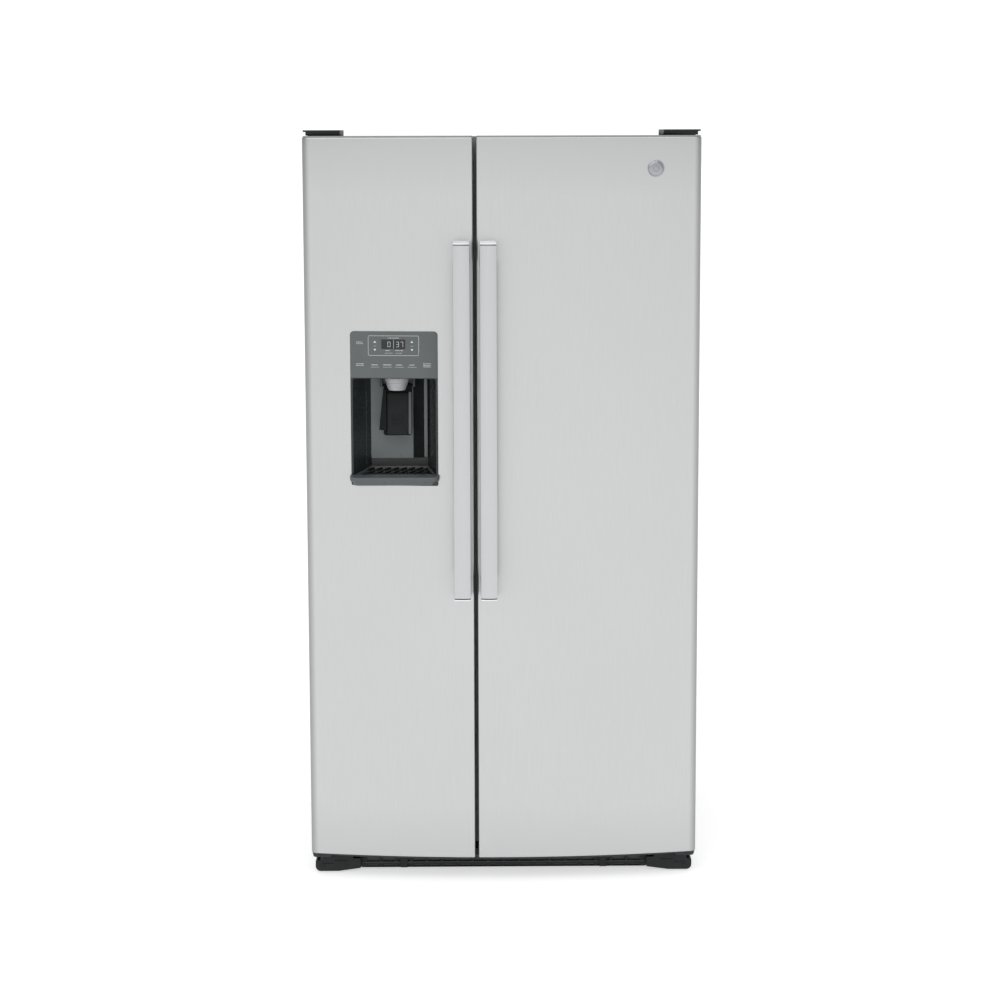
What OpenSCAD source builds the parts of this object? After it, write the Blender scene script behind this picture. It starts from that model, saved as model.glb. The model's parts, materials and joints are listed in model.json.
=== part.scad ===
// Side by side refrigerator with an ice and water dispenser in the freezer door.
// Millimetres. X runs to the right, Y to the back and Z up. The origin is the middle
// of the footprint, on the floor.

/* [Doors] */
// Width over both doors
door_span = 908; // [900:1:912]
// Underside of the doors above the floor
door_z0 = 50; // [49:1:52]
// Upper edge of the doors above the floor
door_z1 = 1737; // [1736.5:0.5:1737.5]
// Thickness of a door at its outer edge
door_edge = 46; // [44:1:48]
// How far the pair of doors bows forward in the middle
door_bow = 40; // [30:1:44]
// Middle of the seam between the doors
seam_x = -63; // [-66:1:-60]
// Width of the seam between the doors
seam_gap = 10; // [8:1:12]
// Radius of a door's outer upright edge
edge_radius = 14; // [8:1:16]
// Radius of a door's upright edge at the seam
seam_radius = 7; // [3:1:9]

/* [Cabinet] */
// Width of the cabinet
case_w = 904; // [902:1:904]
// Top of the cabinet above the floor
case_h = 1735; // [1734.5:0.5:1735]
// Depth of the cabinet without the doors
case_d = 730; // [725:1:735]
// Thickness of the sheet steel
sheet = 1.2; // [0.8:0.1:1.5]
// Thickness of the plastic liners
liner = 2; // [1.5:0.5:2]
// Gap between the cabinet and the doors, which the gaskets fill
gasket_gap = 12; // [11:1:13]

/* [Compartments] */
// Left wall of the freezer
freezer_x0 = -394; // [-396:1:-392]
// Right wall of the freezer
freezer_x1 = -93; // [-93:1:-92]
// Left wall of the fresh food compartment
fresh_x0 = -33; // [-34:1:-33]
// Right wall of the fresh food compartment
fresh_x1 = 406; // [404:1:408]
// Floor of both compartments
inner_z0 = 130; // [126:1:132]
// Ceiling of both compartments
inner_z1 = 1675; // [1673:1:1680]

/* [Hinges] */
// Distance of each door's pivot from the middle
pivot_x = 434; // [433:1:435]
// Radius of the hinge pins
pin_r = 5; // [4:0.5:6]
// Radial play of a pin in its bush
play = 0.06; // [0.03:0.01:0.1]

/* [Handles] */
// Width of a handle
handle_w = 38; // [34:1:40]
// Lower end of the handles
handle_z0 = 680; // [640:1:700]
// Upper end of the handles
handle_z1 = 1504; // [1470:1:1530]
// How far a handle stands out from the middle of the doors
handle_reach = 58; // [50:1:60]
// Thickness of a handle's bar
handle_t = 18; // [14:1:20]
// Height of each post that carries a handle
handle_post = 50; // [40:1:60]
// Distance of a handle from its door's edge at the seam
handle_inset = 6.4; // [4:0.2:9]

/* [Dispenser] */
// Left side of the dispenser
disp_x0 = -350; // [-352:1:-348]
// Right side of the dispenser
disp_x1 = -147; // [-149:1:-145]
// Lower edge of the dispenser
disp_z0 = 938; // [930:1:945]
// Upper edge of the dispenser
disp_z1 = 1294; // [1290:1:1300]
// Lower edge of the control panel
panel_z0 = 1187; // [1182:1:1190]
// Swing of the paddle
paddle_tilt = 10; // [6:1:10]

/* [Hidden] */
$fn = 48;

// The doors' front at the middle, their flat back and the cabinet's front and back
handle_front = -(case_d + gasket_gap + door_edge + door_bow + handle_reach) / 2;
door_front = handle_front + handle_reach;
door_back = door_front + door_bow + door_edge;
case_front = door_back + gasket_gap;
case_back = case_front + case_d;
case_x = case_w / 2;
shell_x = case_x - sheet;
shell_back = case_back - sheet;
door_x = door_span / 2;
freezer_edge = seam_x - seam_gap / 2;
fresh_edge = seam_x + seam_gap / 2;

// The bow is one arc over both doors
bow_r = (door_x * door_x + door_bow * door_bow) / (2 * door_bow);
bow_y = door_front + bow_r;

skin_t = 1;
cap_t = 4;
skin_z0 = door_z0 + cap_t;
skin_z1 = door_z1 - cap_t;
plate_front = door_back - liner;

// The machine compartment and the raised floor of both liners above it
case_z0 = 30;
pan_z = 64;
riser_y = 200;
shelf_z = 302;
step_y = 150;
step_z = 350;
inner_back = case_back - 58;
plate = 2;
rail_x = 380;
rail_t = 3;
rail_front = case_front + 27;

pivot_y = door_back - 26;
hinge_plate = 3;
hinge_z = door_z1 + 2;
lower_hinge_z = 42;
lower_hinge_t = 4;
boss_r = 12;
boss_depth = 28;
pin_depth = 25;
cover_top = door_z1 + 13;

gasket_w = 16;
gasket_z0 = 70;
gasket_z1 = door_z1 - 17;
gasket_slack = 0.3;

dyke_w = 20;
dyke_back = door_back + 57;
dyke_z0 = 150;
dyke_z1 = inner_z1 - 20;
freezer_dyke = [-380, -110];
fresh_dyke = [-16, 392];
bulge_x = [-356, -140];
bulge_z = [930, 1340];
bulge_back = door_back + 33;

// The dispenser's tub, recess and ice chute
bezel = 3;
tub_x0 = disp_x0 + 4;
tub_x1 = disp_x1 - 4;
tub_z0 = disp_z0 + 4;
tub_z1 = disp_z1 - 4;
tub_back = door_back + 24;
wall = 3;
recess_back = tub_back - wall;
recess_floor = disp_z0 + 11;
recess_top = panel_z0 - 2;
recess_front_x = [-344, -153];
recess_back_x = [-309, -171];
panel_back = -345;
chute_x = [-283, -215];
chute_y = [-342, -306];
chute_top = 1335;
chute_window = [1292, 1330];
spout_x = (chute_x[0] + chute_x[1]) / 2;
spout_y = (chute_y[0] + chute_y[1]) / 2;
spout_h = 31;
flap_pin_y = chute_y[1] - 4;
flap_pin_z = 1275;
flap_pin_r = 2;
paddle_x = -243;
paddle_w = 66;
paddle_y = -296;
paddle_z = 1162;
paddle_len = 118;
paddle_pin_r = 3;

badge_x = 349;
badge_z = 1662;
badge_r = 19.5;

// Shelves and drawers
shelf_front = case_front + 190;
drawer_front = case_front + 207;
freezer_shelf_z = [1265, 1055, 845, 640];
fresh_shelf_z = [1370, 1125, 880];
bucket_z = 1330;
crisper_top_z = 640;
crisper_mid_z = 396;
wall_ledge = 7;
ledge_h = 6;
evaporator_front = 316;

foot_x = [340, 447];
foot_z = [3, 40];
foot_r = 12;
leg_x = 400;
leg_y = rail_front + 20;
roller_x = 415;
roller_y = 390;
roller_r = 20;
roller_w = 24;
axle_r = 4;

// ---------- Shapes that repeat ----------

// A block between two opposite corners
module block(low, high) {
    translate(low) cube(high - low);
}

// A block with rounded upright edges
module rounded_block(low, high, r) {
    block([low.x + r, low.y, low.z], [high.x - r, high.y, high.z]);
    block([low.x, low.y + r, low.z], [high.x, high.y - r, high.z]);
    for (x = [low.x + r, high.x - r], y = [low.y + r, high.y - r])
        translate([x, y, low.z]) cylinder(r = r, h = high.z - low.z);
}

// A box with no lid
module open_box(low, high, t) {
    difference() {
        block(low, high);
        block(low + [t, t, t], [high.x - t, high.y - t, high.z + 1]);
    }
}

// A round bar along X, Y or Z, from a point
module bar_x(p, r, length) {
    translate(p) rotate([0, 90, 0]) cylinder(r = r, h = length);
}
module bar_y(p, r, length) {
    translate(p) rotate([-90, 0, 0]) cylinder(r = r, h = length);
}
module bar_z(p, r, length) {
    translate(p) cylinder(r = r, h = length);
}

// A flat outline in Y and Z, drawn out along X
module along_x(x0, x1) {
    translate([x0, 0, 0]) rotate([90, 0, 90]) linear_extrude(x1 - x0) children();
}

// The same shape on both sides of the cabinet
module both_sides() {
    children();
    mirror([1, 0, 0]) children();
}

function arc(c, r, a0, a1, n) =
    [for (i = [0:n]) let (a = a0 + (a1 - a0) * i / n) c + r * [cos(a), sin(a)]];

// Middle of the round edge at x, on the side given by its sign, of a front arc of radius big
function edge_centre(x, side, r, big) =
    let (cx = x - side * r) [cx, bow_y - sqrt(pow(big - r, 2) - cx * cx)];

// Outline of a door from above, with its faces moved in by inset
function door_outline(x0, x1, r0, r1, inset, back) =
    let (
        big = bow_r - inset,
        ra = max(r0 - inset, 0.5),
        rb = max(r1 - inset, 0.5),
        ca = edge_centre(x0 + inset, -1, ra, big),
        cb = edge_centre(x1 - inset, 1, rb, big),
        a0 = atan2(ca.y - bow_y, ca.x) + 360,
        a1 = atan2(cb.y - bow_y, cb.x) + 360
    )
    concat(
        [[x0 + inset, back]],
        arc(ca, ra, 180, a0, 8),
        arc([0, bow_y], big, a0, a1, 32),
        arc(cb, rb, a1, 360, 8),
        [[x1 - inset, back]]
    );

module freezer_outline(inset, back) {
    polygon(door_outline(-door_x, freezer_edge, edge_radius, seam_radius, inset, back));
}
module fresh_outline(inset, back) {
    polygon(door_outline(fresh_edge, door_x, seam_radius, edge_radius, inset, back));
}

// The solid outer shape of a door between two heights
module freezer_body(z0, z1) {
    translate([0, 0, z0]) linear_extrude(z1 - z0) freezer_outline(0, door_back);
}
module fresh_body(z0, z1) {
    translate([0, 0, z0]) linear_extrude(z1 - z0) fresh_outline(0, door_back);
}

// Everything behind the doors' bowed front, moved forward by a distance
module behind_front(forward, z0, z1) {
    front = arc([0, bow_y], bow_r + forward, 260.5, 279.5, 64);
    translate([0, 0, z0]) linear_extrude(z1 - z0)
        polygon(concat([[-400, case_front]], front, [[400, case_front]]));
}

// ---------- Cabinet shell ----------

// A compartment's hollow with its raised rear floor, grown by the liner's thickness
module compartment(x0, x1, grow, front) {
    difference() {
        block([x0 - grow, front, inner_z0 - grow], [x1 + grow, inner_back + grow, inner_z1 + grow]);
        block([x0 - grow - 1, step_y + grow, inner_z0 - grow - 1],
              [x1 + grow + 1, inner_back + grow + 1, step_z - grow]);
    }
}

module outer_case() {
    color("gray") difference() {
        block([-case_x, case_front, case_z0], [case_x, case_back, case_h]);
        block([-shell_x, case_front + sheet, case_z0 - 1], [shell_x, case_back + 1, case_h - sheet]);
        block([-shell_x, case_front - 1, case_z0 - 1], [shell_x, case_front + 2 * sheet, pan_z - plate]);
        for (side = [[freezer_x0, freezer_x1], [fresh_x0, fresh_x1]])
            block([side[0] - liner, case_front - 1, inner_z0 - liner],
                  [side[1] + liner, case_front + 2 * sheet, inner_z1 + liner]);
    }
}

module rear_panel() {
    color("darkgray") block([-shell_x, shell_back, shelf_z], [shell_x, case_back, case_h - sheet]);
}

module cabinet_foam() {
    color("khaki") difference() {
        block([-shell_x, case_front + sheet, pan_z], [shell_x, shell_back, case_h - sheet]);
        block([-case_x, riser_y - plate, pan_z - 1], [case_x, case_back, shelf_z]);
        compartment(freezer_x0, freezer_x1, liner, case_front);
        compartment(fresh_x0, fresh_x1, liner, case_front);
    }
}

// A liner with a ledge on each wall under every shelf height in the list
module lined_compartment(x0, x1, ledges, ledge_back) {
    difference() {
        compartment(x0, x1, liner, case_front);
        compartment(x0, x1, 0, case_front - 1);
    }
    for (z = ledges) {
        block([x0, shelf_front + 6, z - ledge_h], [x0 + wall_ledge, ledge_back, z]);
        block([x1 - wall_ledge, shelf_front + 6, z - ledge_h], [x1, ledge_back, z]);
    }
}

module freezer_liner() {
    color("whitesmoke")
        lined_compartment(freezer_x0, freezer_x1, concat(freezer_shelf_z, [bucket_z, 400]), 300);
}

module fresh_food_liner() {
    color("whitesmoke")
        lined_compartment(fresh_x0, fresh_x1, concat(fresh_shelf_z, [crisper_top_z]), 300);
}

// ---------- Base ----------

module base_frame() {
    color("dimgray") {
        block([-shell_x, case_front + sheet, pan_z - plate], [shell_x, riser_y, pan_z]);
        block([-shell_x, riser_y - plate, pan_z - plate], [shell_x, riser_y, shelf_z]);
        block([-shell_x, riser_y - plate, shelf_z - plate], [shell_x, shell_back, shelf_z]);
        block([-rail_x, rail_front, case_z0], [rail_x, rail_front + rail_t, pan_z - 1]);
        block([-rail_x, riser_y + 10, case_z0], [rail_x, shell_back - 4, case_z0 + rail_t]);
        both_sides() side_rail();
    }
}

module side_rail() {
    difference() {
        union() {
            block([rail_x, rail_front, case_z0], [shell_x, shell_back, case_z0 + rail_t]);
            block([rail_x, rail_front, case_z0], [rail_x + rail_t, shell_back, pan_z - 1]);
            bar_z([leg_x, leg_y, case_z0], 11, 11);
        }
        bar_z([leg_x, leg_y, case_z0 - 1], 6 + play, 20);
        block([roller_x - 16, roller_y - 24, case_z0 - 1], [roller_x + 16, roller_y + 24, case_z0 + 14]);
    }
    for (x = [roller_x - 19, roller_x + 16])
        difference() {
            block([x, roller_y - 10, 12], [x + rail_t, roller_y + 10, case_z0 + rail_t]);
            bar_x([x - 1, roller_y, roller_r], axle_r, 5);
        }
    bar_x([roller_x - 19, roller_y, roller_r], axle_r, 38);
}

module base_grille() {
    front = door_back - 13;
    back = front + 5;
    half = 337;
    cells = 18;
    pitch = 2 * (half - 8) / cells;
    color("darkslategray") {
        difference() {
            block([-half, front, 6.5], [half, back, 41]);
            for (i = [0:cells - 1], z = [[8.5, 14], [21, 36]]) {
                x = -half + 8 + i * pitch;
                block([x + 3, front - 1, z[0]], [x + pitch - 3, back + 1, z[1]]);
            }
        }
        block([-half, front, 39], [half, rail_front - 2, 41]);
        for (x = [-237, 237])
            block([x - 8.5, front - 2, 6.5], [x + 8.5, front, 41]);
    }
}

module leg_covers() {
    front = door_back - 28;
    back = rail_front - 2;
    color("darkslategray") both_sides() difference() {
        rounded_block([foot_x[0], front, foot_z[0]], [foot_x[1], back, foot_z[1]], 6);
        block([foot_x[0] + wall, front + wall, 1], [foot_x[1] - wall, back + 1, foot_z[1] - wall]);
        translate([0, back + 1, 0]) rotate([90, 0, 0]) linear_extrude(back - front + 2) {
            cover_rise();
            cover_corner();
        }
    }
}

// What is cut from a leg cover's lower edge, where it rises towards the grille
module cover_rise() {
    x = foot_x[0] - 2;
    polygon([[x, 1], [392, 1], [392, foot_z[0]], [x, 10]]);
}

// What is cut from a leg cover's lower outer corner to round it
module cover_corner() {
    centre = [foot_x[1] - foot_r, foot_z[0] + foot_r];
    difference() {
        translate([centre.x, 1]) square([foot_r + 1, centre.y - 1]);
        translate(centre) circle(r = foot_r);
    }
}

module leveling_legs() {
    color("silver") both_sides() {
        bar_z([leg_x, leg_y, 0], 18, 6);
        bar_z([leg_x, leg_y, 0], 6, 58);
    }
}

// A roller with a groove in its tread and a bore for its axle
module roller() {
    difference() {
        bar_x([-roller_w / 2, 0, 0], roller_r, roller_w);
        bar_x([-roller_w / 2 - 1, 0, 0], axle_r + play, roller_w + 2);
        for (s = [-1, 1])
            bar_x([s * (roller_w / 2 - 2) - 2, 0, 0], 13, 4);
    }
    difference() {
        bar_x([-roller_w / 2, 0, 0], 8, roller_w);
        bar_x([-roller_w / 2 - 1, 0, 0], axle_r + play, roller_w + 2);
    }
}

module rear_roller_left() {
    color("black") translate([-roller_x, roller_y, roller_r]) roller();
}

module rear_roller_right() {
    color("black") translate([roller_x, roller_y, roller_r]) roller();
}

// ---------- Hinges ----------

module top_hinges() {
    color("silver") both_sides() {
        block([390, case_front + 4, case_h], [443, case_front + 84, hinge_z]);
        block([390, pivot_y - 14, hinge_z], [443, case_front + 84, hinge_z + hinge_plate]);
        bar_z([pivot_x, pivot_y, door_z1 - pin_depth], pin_r, pin_depth + 2);
        for (x = [402, 431], y = [case_front + 24, case_front + 64])
            bar_z([x, y, hinge_z + hinge_plate], 5, 3);
    }
}

module bottom_hinges() {
    top = lower_hinge_z + lower_hinge_t;
    color("silver") both_sides() {
        rounded_block([408, pivot_y - 14, lower_hinge_z], [450, rail_front + 35, top], 5);
        block([426, rail_front + 2, case_z0 + rail_t], [449, rail_front + 34, lower_hinge_z]);
        bar_z([pivot_x, pivot_y, top], pin_r + 5, door_z0 - top - 0.2);
        bar_z([pivot_x, pivot_y, top], pin_r, door_z0 - top + pin_depth - 2);
    }
}

module hinge_covers() {
    front = pivot_y - 22;
    back = case_front + 92;
    low = hinge_z - 1;
    lid = 4;
    color("darkslategray") both_sides() difference() {
        union() {
            rounded_block([368, front, cover_top - lid], [door_x - 2, back, cover_top], 3);
            block([368, front + 2, low], [446, back - 2, cover_top - lid]);
            block([368, case_front + 1, case_h], [446, back - 2, low]);
        }
        block([370, front + 4, case_h - 1], [444, back - 4, cover_top - lid]);
    }
}

// ---------- Machine compartment ----------

module compressor() {
    color("dimgray") {
        translate([230, 320, 46]) rotate_extrude()
            polygon(concat([[0, 0]], arc([46, 26], 26, -90, 0, 8), arc([40, 118], 32, 0, 90, 8),
                           [[0, 150]]));
        difference() {
            block([150, 252, 39], [310, 388, 42]);
            bar_z([230, 320, 38], 30, 5);
        }
        bar_z([230, 320, 39], 34, 8);
        for (x = [162, 298], y = [264, 376])
            bar_z([x, y, case_z0 + rail_t], 9, 39 - case_z0 - rail_t);
    }
}

module condenser_coil() {
    fins = 15;
    rows = 5;
    color("silver") {
        for (i = [0:fins - 1])
            block([-336 + i * 17, 232, 62], [-335 + i * 17, 412, 240]);
        for (r = [0:rows - 1], y = [262, 322, 382])
            bar_x([-342, y, 82 + r * 34], 4, 254);
        for (x = [-345, -94])
            block([x, 228, case_z0 + rail_t], [x + 3, 416, 244]);
    }
}

// A fan with a hub, five pitched blades and a bore for its shaft; its axis is X
module fan(r, hub_r, width, shaft_r) {
    difference() {
        union() {
            bar_x([-width / 2, 0, 0], hub_r, width);
            for (i = [0:4])
                rotate([i * 72, 0, 0]) translate([0, 0, hub_r - 2]) rotate([0, 0, 32])
                    block([-1, -r * 0.32, 0], [1, r * 0.32, r - hub_r - 2]);
        }
        bar_x([-width / 2 - 1, 0, 0], shaft_r + play, width + 2);
    }
}

condenser_fan_at = [-20, 320, 155];
evaporator_fan_at = [-243, 338, 1180];

module condenser_fan() {
    color("black") translate(condenser_fan_at) fan(78, 20, 20, 3);
}

module evaporator_fan() {
    color("black") translate(evaporator_fan_at) rotate([0, 0, 90]) fan(50, 15, 14, 3);
}

module fan_motors() {
    color("gray") {
        translate(condenser_fan_at) {
            bar_x([14, 0, 0], 24, 40);
            bar_x([-12, 0, 0], 3, 27);
            block([30, -12, -condenser_fan_at.z + case_z0 + rail_t], [34, 12, -20]);
        }
        translate(evaporator_fan_at) {
            bar_y([0, 11, 0], 18, 22);
            bar_y([0, -9, 0], 3, 21);
            block([-60, 33, -8], [60, inner_back - evaporator_fan_at.y, 8]);
        }
    }
}

module machine_cover() {
    color("darkgray") difference() {
        block([-376, shell_back - 0.4, 36], [300, shell_back + 0.8, shelf_z - plate]);
        for (i = [0:25], z = [70, 120, 170, 220])
            block([-350 + i * 22, shell_back - 2, z], [-340 + i * 22, case_back + 1, z + 32]);
        block([250, shell_back - 2, 60], [290, case_back + 1, 90]);
    }
}

module power_inlet() {
    color("black") difference() {
        block([250, shell_back - 22, 60], [290, case_back, 90]);
        block([255, shell_back - 16, 64], [285, case_back + 1, 86]);
    }
    color("black") for (x = [262, 270, 278])
        block([x - 1, shell_back - 17, 72], [x + 1, shell_back - 4, 78]);
}

module water_valve() {
    color("mediumblue") {
        block([322, 418, 206], [372, 421, shelf_z - plate]);
        block([324, 388, 180], [370, 418, 214]);
        for (x = [335, 359])
            bar_z([x, 403, 214], 10, 34);
        bar_z([347, 403, 158], 6.35, 22);
        bar_z([347, 403, 172], 9, 8);
    }
}

// ---------- Freezer fittings ----------

module evaporator_coil() {
    fins = 14;
    color("silver") {
        for (i = [0:fins - 1])
            block([-360 + i * 18, 330, 560], [-359 + i * 18, 376, 980]);
        for (r = [0:9], y = [342, 364])
            bar_x([-368, y, 580 + r * 42], 4, 250);
        for (x = [-371, -118])
            block([x, 328, 550], [x + 3, inner_back, 990]);
    }
}

module evaporator_cover() {
    color("white") difference() {
        block([freezer_x0, evaporator_front, step_z], [freezer_x1, evaporator_front + wall, inner_z1]);
        for (i = [0:8])
            block([-370 + i * 29, evaporator_front - 1, 372],
                  [-350 + i * 29, evaporator_front + 5, 392]);
        bar_y([evaporator_fan_at.x, evaporator_front - 1, evaporator_fan_at.z], 46, 5);
    }
    color("white") for (z = [-24, 0, 24])
        block([evaporator_fan_at.x - 48, evaporator_front, evaporator_fan_at.z + z - 2],
              [evaporator_fan_at.x + 48, evaporator_front + wall, evaporator_fan_at.z + z + 2]);
}

arm_axis = [-152, 112, 1611];

module ice_maker() {
    cavities = 7;
    color("gainsboro") {
        difference() {
            block([-384, 120, 1583], [-160, 216, 1625]);
            for (i = [0:cavities - 1])
                translate([-368 + i * 29, 168, 1627]) rotate([0, 90, 0]) cylinder(r = 34, h = 23);
        }
        difference() {
            block([-160, 100, 1571], [-112, 228, 1665]);
            bar_x([-161, arm_axis.y, arm_axis.z], 3 + play, 10);
        }
        block([-112, 140, 1595], [freezer_x1, 200, 1665]);
        block([-384, 216, 1595], [-160, 219, inner_z1]);
    }
}

// The wire that feels how full the bucket is
module icemaker_arm() {
    left = -376;
    drop = 52;
    color("silver") {
        bar_x([left, arm_axis.y - 25, arm_axis.z - drop - 14], 2.5, 209);
        for (x = [left, -167.5])
            along_x(x - 2, x + 3) polygon([
                [arm_axis.y - 3, arm_axis.z], [arm_axis.y + 3, arm_axis.z - 3],
                [arm_axis.y - 22, arm_axis.z - drop - 16], [arm_axis.y - 28, arm_axis.z - drop - 12]
            ]);
        bar_x([-169, arm_axis.y, arm_axis.z], 3, 16);
    }
}

auger_at = [-243, 0, bucket_z + 57];
bucket_back = 296;

module ice_bucket() {
    color("white") difference() {
        union() {
            open_box([-384, drawer_front, bucket_z + 0.3], [-103, bucket_back, bucket_z + 210], wall);
            block([-386, drawer_front - 3, bucket_z + 1], [-101, drawer_front, bucket_z + 222]);
        }
        bar_y([auger_at.x, bucket_back - 5, auger_at.z], 6 + play, 10);
        block([-283, drawer_front + 12, bucket_z - 1], [-215, drawer_front + 62, bucket_z + 7]);
        block([-300, drawer_front - 5, bucket_z + 190], [-186, drawer_front + 1, bucket_z + 206]);
    }
}

module ice_auger() {
    flights = 6;
    color("gray") {
        bar_y([auger_at.x, drawer_front + 12, auger_at.z], 6, bucket_back + 4 - drawer_front);
        for (i = [0:flights - 1])
            translate([auger_at.x, drawer_front + 60 + i * 50, auger_at.z]) rotate([-76, 0, i * 4])
                cylinder(r = 38, h = 3, center = true);
    }
}

// One shelf of bars across a frame
module wire_shelf(z, back) {
    r = 3;
    x0 = freezer_x0 + 1;
    x1 = freezer_x1 - 1;
    bars = 13;
    for (y = [shelf_front + r, back - r])
        bar_x([x0, y, z + r + 0.3], r, x1 - x0);
    for (i = [0:bars - 1])
        bar_y([x0 + r + i * (x1 - x0 - 2 * r) / (bars - 1), shelf_front + r, z + r + 0.3], r - 0.4,
              back - shelf_front - 2 * r);
}

module freezer_shelves() {
    color("white") for (z = freezer_shelf_z) wire_shelf(z, 304);
}

module freezer_basket() {
    color("white") drawer([-385, drawer_front, 400.5], [-102, 290, 590]);
}

// ---------- Fresh food fittings ----------

module glass_shelves() {
    color("lightblue") for (z = fresh_shelf_z) {
        difference() {
            block([fresh_x0 + 1, shelf_front, z + 0.3], [fresh_x1 - 1, 340, z + 14]);
            block([fresh_x0 + 12, shelf_front + 16, z + 6], [fresh_x1 - 12, 330, z + 15]);
            block([fresh_x0 + 12, shelf_front + 16, z - 1], [fresh_x1 - 12, 330, z + 2]);
        }
    }
}

module crisper_frame() {
    x0 = fresh_x0 + 1;
    x1 = fresh_x1 - 1;
    color("white") {
        difference() {
            block([x0, shelf_front, crisper_top_z + 0.3], [x1, 340, crisper_top_z + 20]);
            block([x0 + 14, shelf_front + 28, crisper_top_z + 8], [x1 - 14, 328, crisper_top_z + 21]);
            block([232, shelf_front - 1, crisper_top_z + 6], [302, shelf_front + 4, crisper_top_z + 16]);
        }
        for (s = [[x0 - 0.5, x0 + 7], [x1 - 7, x1 + 0.5]])
            block([s[0], shelf_front + 10, crisper_mid_z], [s[1], 300, crisper_mid_z + 8]);
        block([x0 + 7, shelf_front + 12, crisper_mid_z + 1], [x1 - 7, shelf_front + 30, crisper_mid_z + 7]);
    }
}

module humidity_slider() {
    color("gray") {
        block([236, shelf_front + 1, crisper_top_z + 7], [262, shelf_front + 3.6, crisper_top_z + 15]);
        block([245, shelf_front - 3, crisper_top_z + 7.6], [253, shelf_front + 1, crisper_top_z + 14.4]);
    }
}

// A drawer with a grip along the top of its front
module drawer(low, high) {
    difference() {
        union() {
            open_box(low, high, wall);
            block([low.x, low.y - 10, high.z - 22], [high.x, low.y, high.z]);
        }
        block([low.x + 14, low.y - 7, high.z - 23], [high.x - 14, low.y - 2, high.z - 5]);
    }
}

module crisper_upper() {
    color("lightcyan") drawer([-23, drawer_front, crisper_mid_z + 9], [396, 290, crisper_top_z - 8]);
}

module crisper_lower() {
    color("lightcyan") drawer([-23, drawer_front, inner_z0 + 0.5], [396, 140, crisper_mid_z - 6]);
}

filter_at = [352, 270, inner_z1 - 60];

module filter_housing() {
    color("white") difference() {
        rounded_block([filter_at.x - 40, filter_at.y - 40, filter_at.z],
                      [filter_at.x + 40, filter_at.y + 40, inner_z1], 10);
        translate([0, 0, -1]) bar_z(filter_at, 24 + play, 33);
    }
}

module water_filter() {
    color("white") translate(filter_at) difference() {
        union() {
            bar_z([0, 0, -1], 24, 31);
            bar_z([0, 0, -190], 29, 189);
            bar_z([0, 0, -196], 25, 6);
        }
        for (s = [-1, 1])
            block([s * 40 - 30, -4, -197], [s * 40 + 30, 4, -186]);
    }
}

// ---------- Doors ----------

// The sheet steel that wraps the front and the sides of a door
module freezer_door_skin() {
    color("lightgray") difference() {
        translate([0, 0, skin_z0]) linear_extrude(skin_z1 - skin_z0) freezer_outline(0, door_back);
        translate([0, 0, skin_z0 - 1]) linear_extrude(skin_z1 - skin_z0 + 2)
            freezer_outline(skin_t, door_back + 1);
        block([tub_x0, door_front - 20, tub_z0], [tub_x1, door_back - 1, tub_z1]);
    }
}

module fresh_door_skin() {
    color("lightgray") difference() {
        translate([0, 0, skin_z0]) linear_extrude(skin_z1 - skin_z0) fresh_outline(0, door_back);
        translate([0, 0, skin_z0 - 1]) linear_extrude(skin_z1 - skin_z0 + 2)
            fresh_outline(skin_t, door_back + 1);
    }
}

// The raised border on the inside of a door, moved in by inset
module dyke(xs, inset, front) {
    difference() {
        block([xs[0] + inset, front, dyke_z0 + inset], [xs[1] - inset, dyke_back - inset, dyke_z1 - inset]);
        block([xs[0] + dyke_w - inset, front - 1, dyke_z0 + dyke_w - inset],
              [xs[1] - dyke_w + inset, dyke_back + 1, dyke_z1 - dyke_w + inset]);
    }
}

module bulge(inset, front) {
    block([bulge_x[0] + inset, front, bulge_z[0] + inset],
          [bulge_x[1] - inset, bulge_back - inset, bulge_z[1] - inset]);
}

// What the dispenser takes out of the door behind its skin
module dispenser_space() {
    block([tub_x0, door_front - 20, tub_z0], [tub_x1, tub_back, panel_z0 + wall]);
    block([tub_x0, door_front - 20, panel_z0], [tub_x1, panel_back, tub_z1]);
    block([chute_x[0] - 2, panel_back - 1, panel_z0], [chute_x[1] + 2, chute_y[1] + 2, chute_top]);
    block([chute_x[0], chute_y[1], chute_window[0]], [chute_x[1], bulge_back + 1, chute_window[1]]);
}

// The two bushes of a door, which the foam and the caps share
module bush_bosses(side, grow) {
    bar_z([side * pivot_x, pivot_y, skin_z0 - grow], boss_r, boss_depth - cap_t + grow);
    bar_z([side * pivot_x, pivot_y, door_z1 - boss_depth], boss_r, boss_depth - cap_t + grow);
}

module freezer_door_foam() {
    color("khaki") difference() {
        union() {
            translate([0, 0, skin_z0]) linear_extrude(skin_z1 - skin_z0)
                freezer_outline(skin_t, plate_front);
            dyke(freezer_dyke, liner, plate_front - 5);
            bulge(liner, plate_front - 5);
        }
        bush_bosses(-1, 1);
        dispenser_space();
    }
}

module fresh_door_foam() {
    color("khaki") difference() {
        union() {
            translate([0, 0, skin_z0]) linear_extrude(skin_z1 - skin_z0)
                fresh_outline(skin_t, plate_front);
            dyke(fresh_dyke, liner, plate_front - 5);
        }
        bush_bosses(1, 1);
    }
}

module freezer_door_liner() {
    color("whitesmoke") difference() {
        union() {
            block([-door_x + skin_t, plate_front, skin_z0], [freezer_edge - skin_t, door_back, skin_z1]);
            dyke(freezer_dyke, 0, plate_front);
            bulge(0, plate_front);
        }
        dyke(freezer_dyke, liner, plate_front - 5);
        bulge(liner, plate_front - 5);
        block([chute_x[0], plate_front - 5, chute_window[0]],
              [chute_x[1], bulge_back + 1, chute_window[1]]);
    }
}

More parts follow.
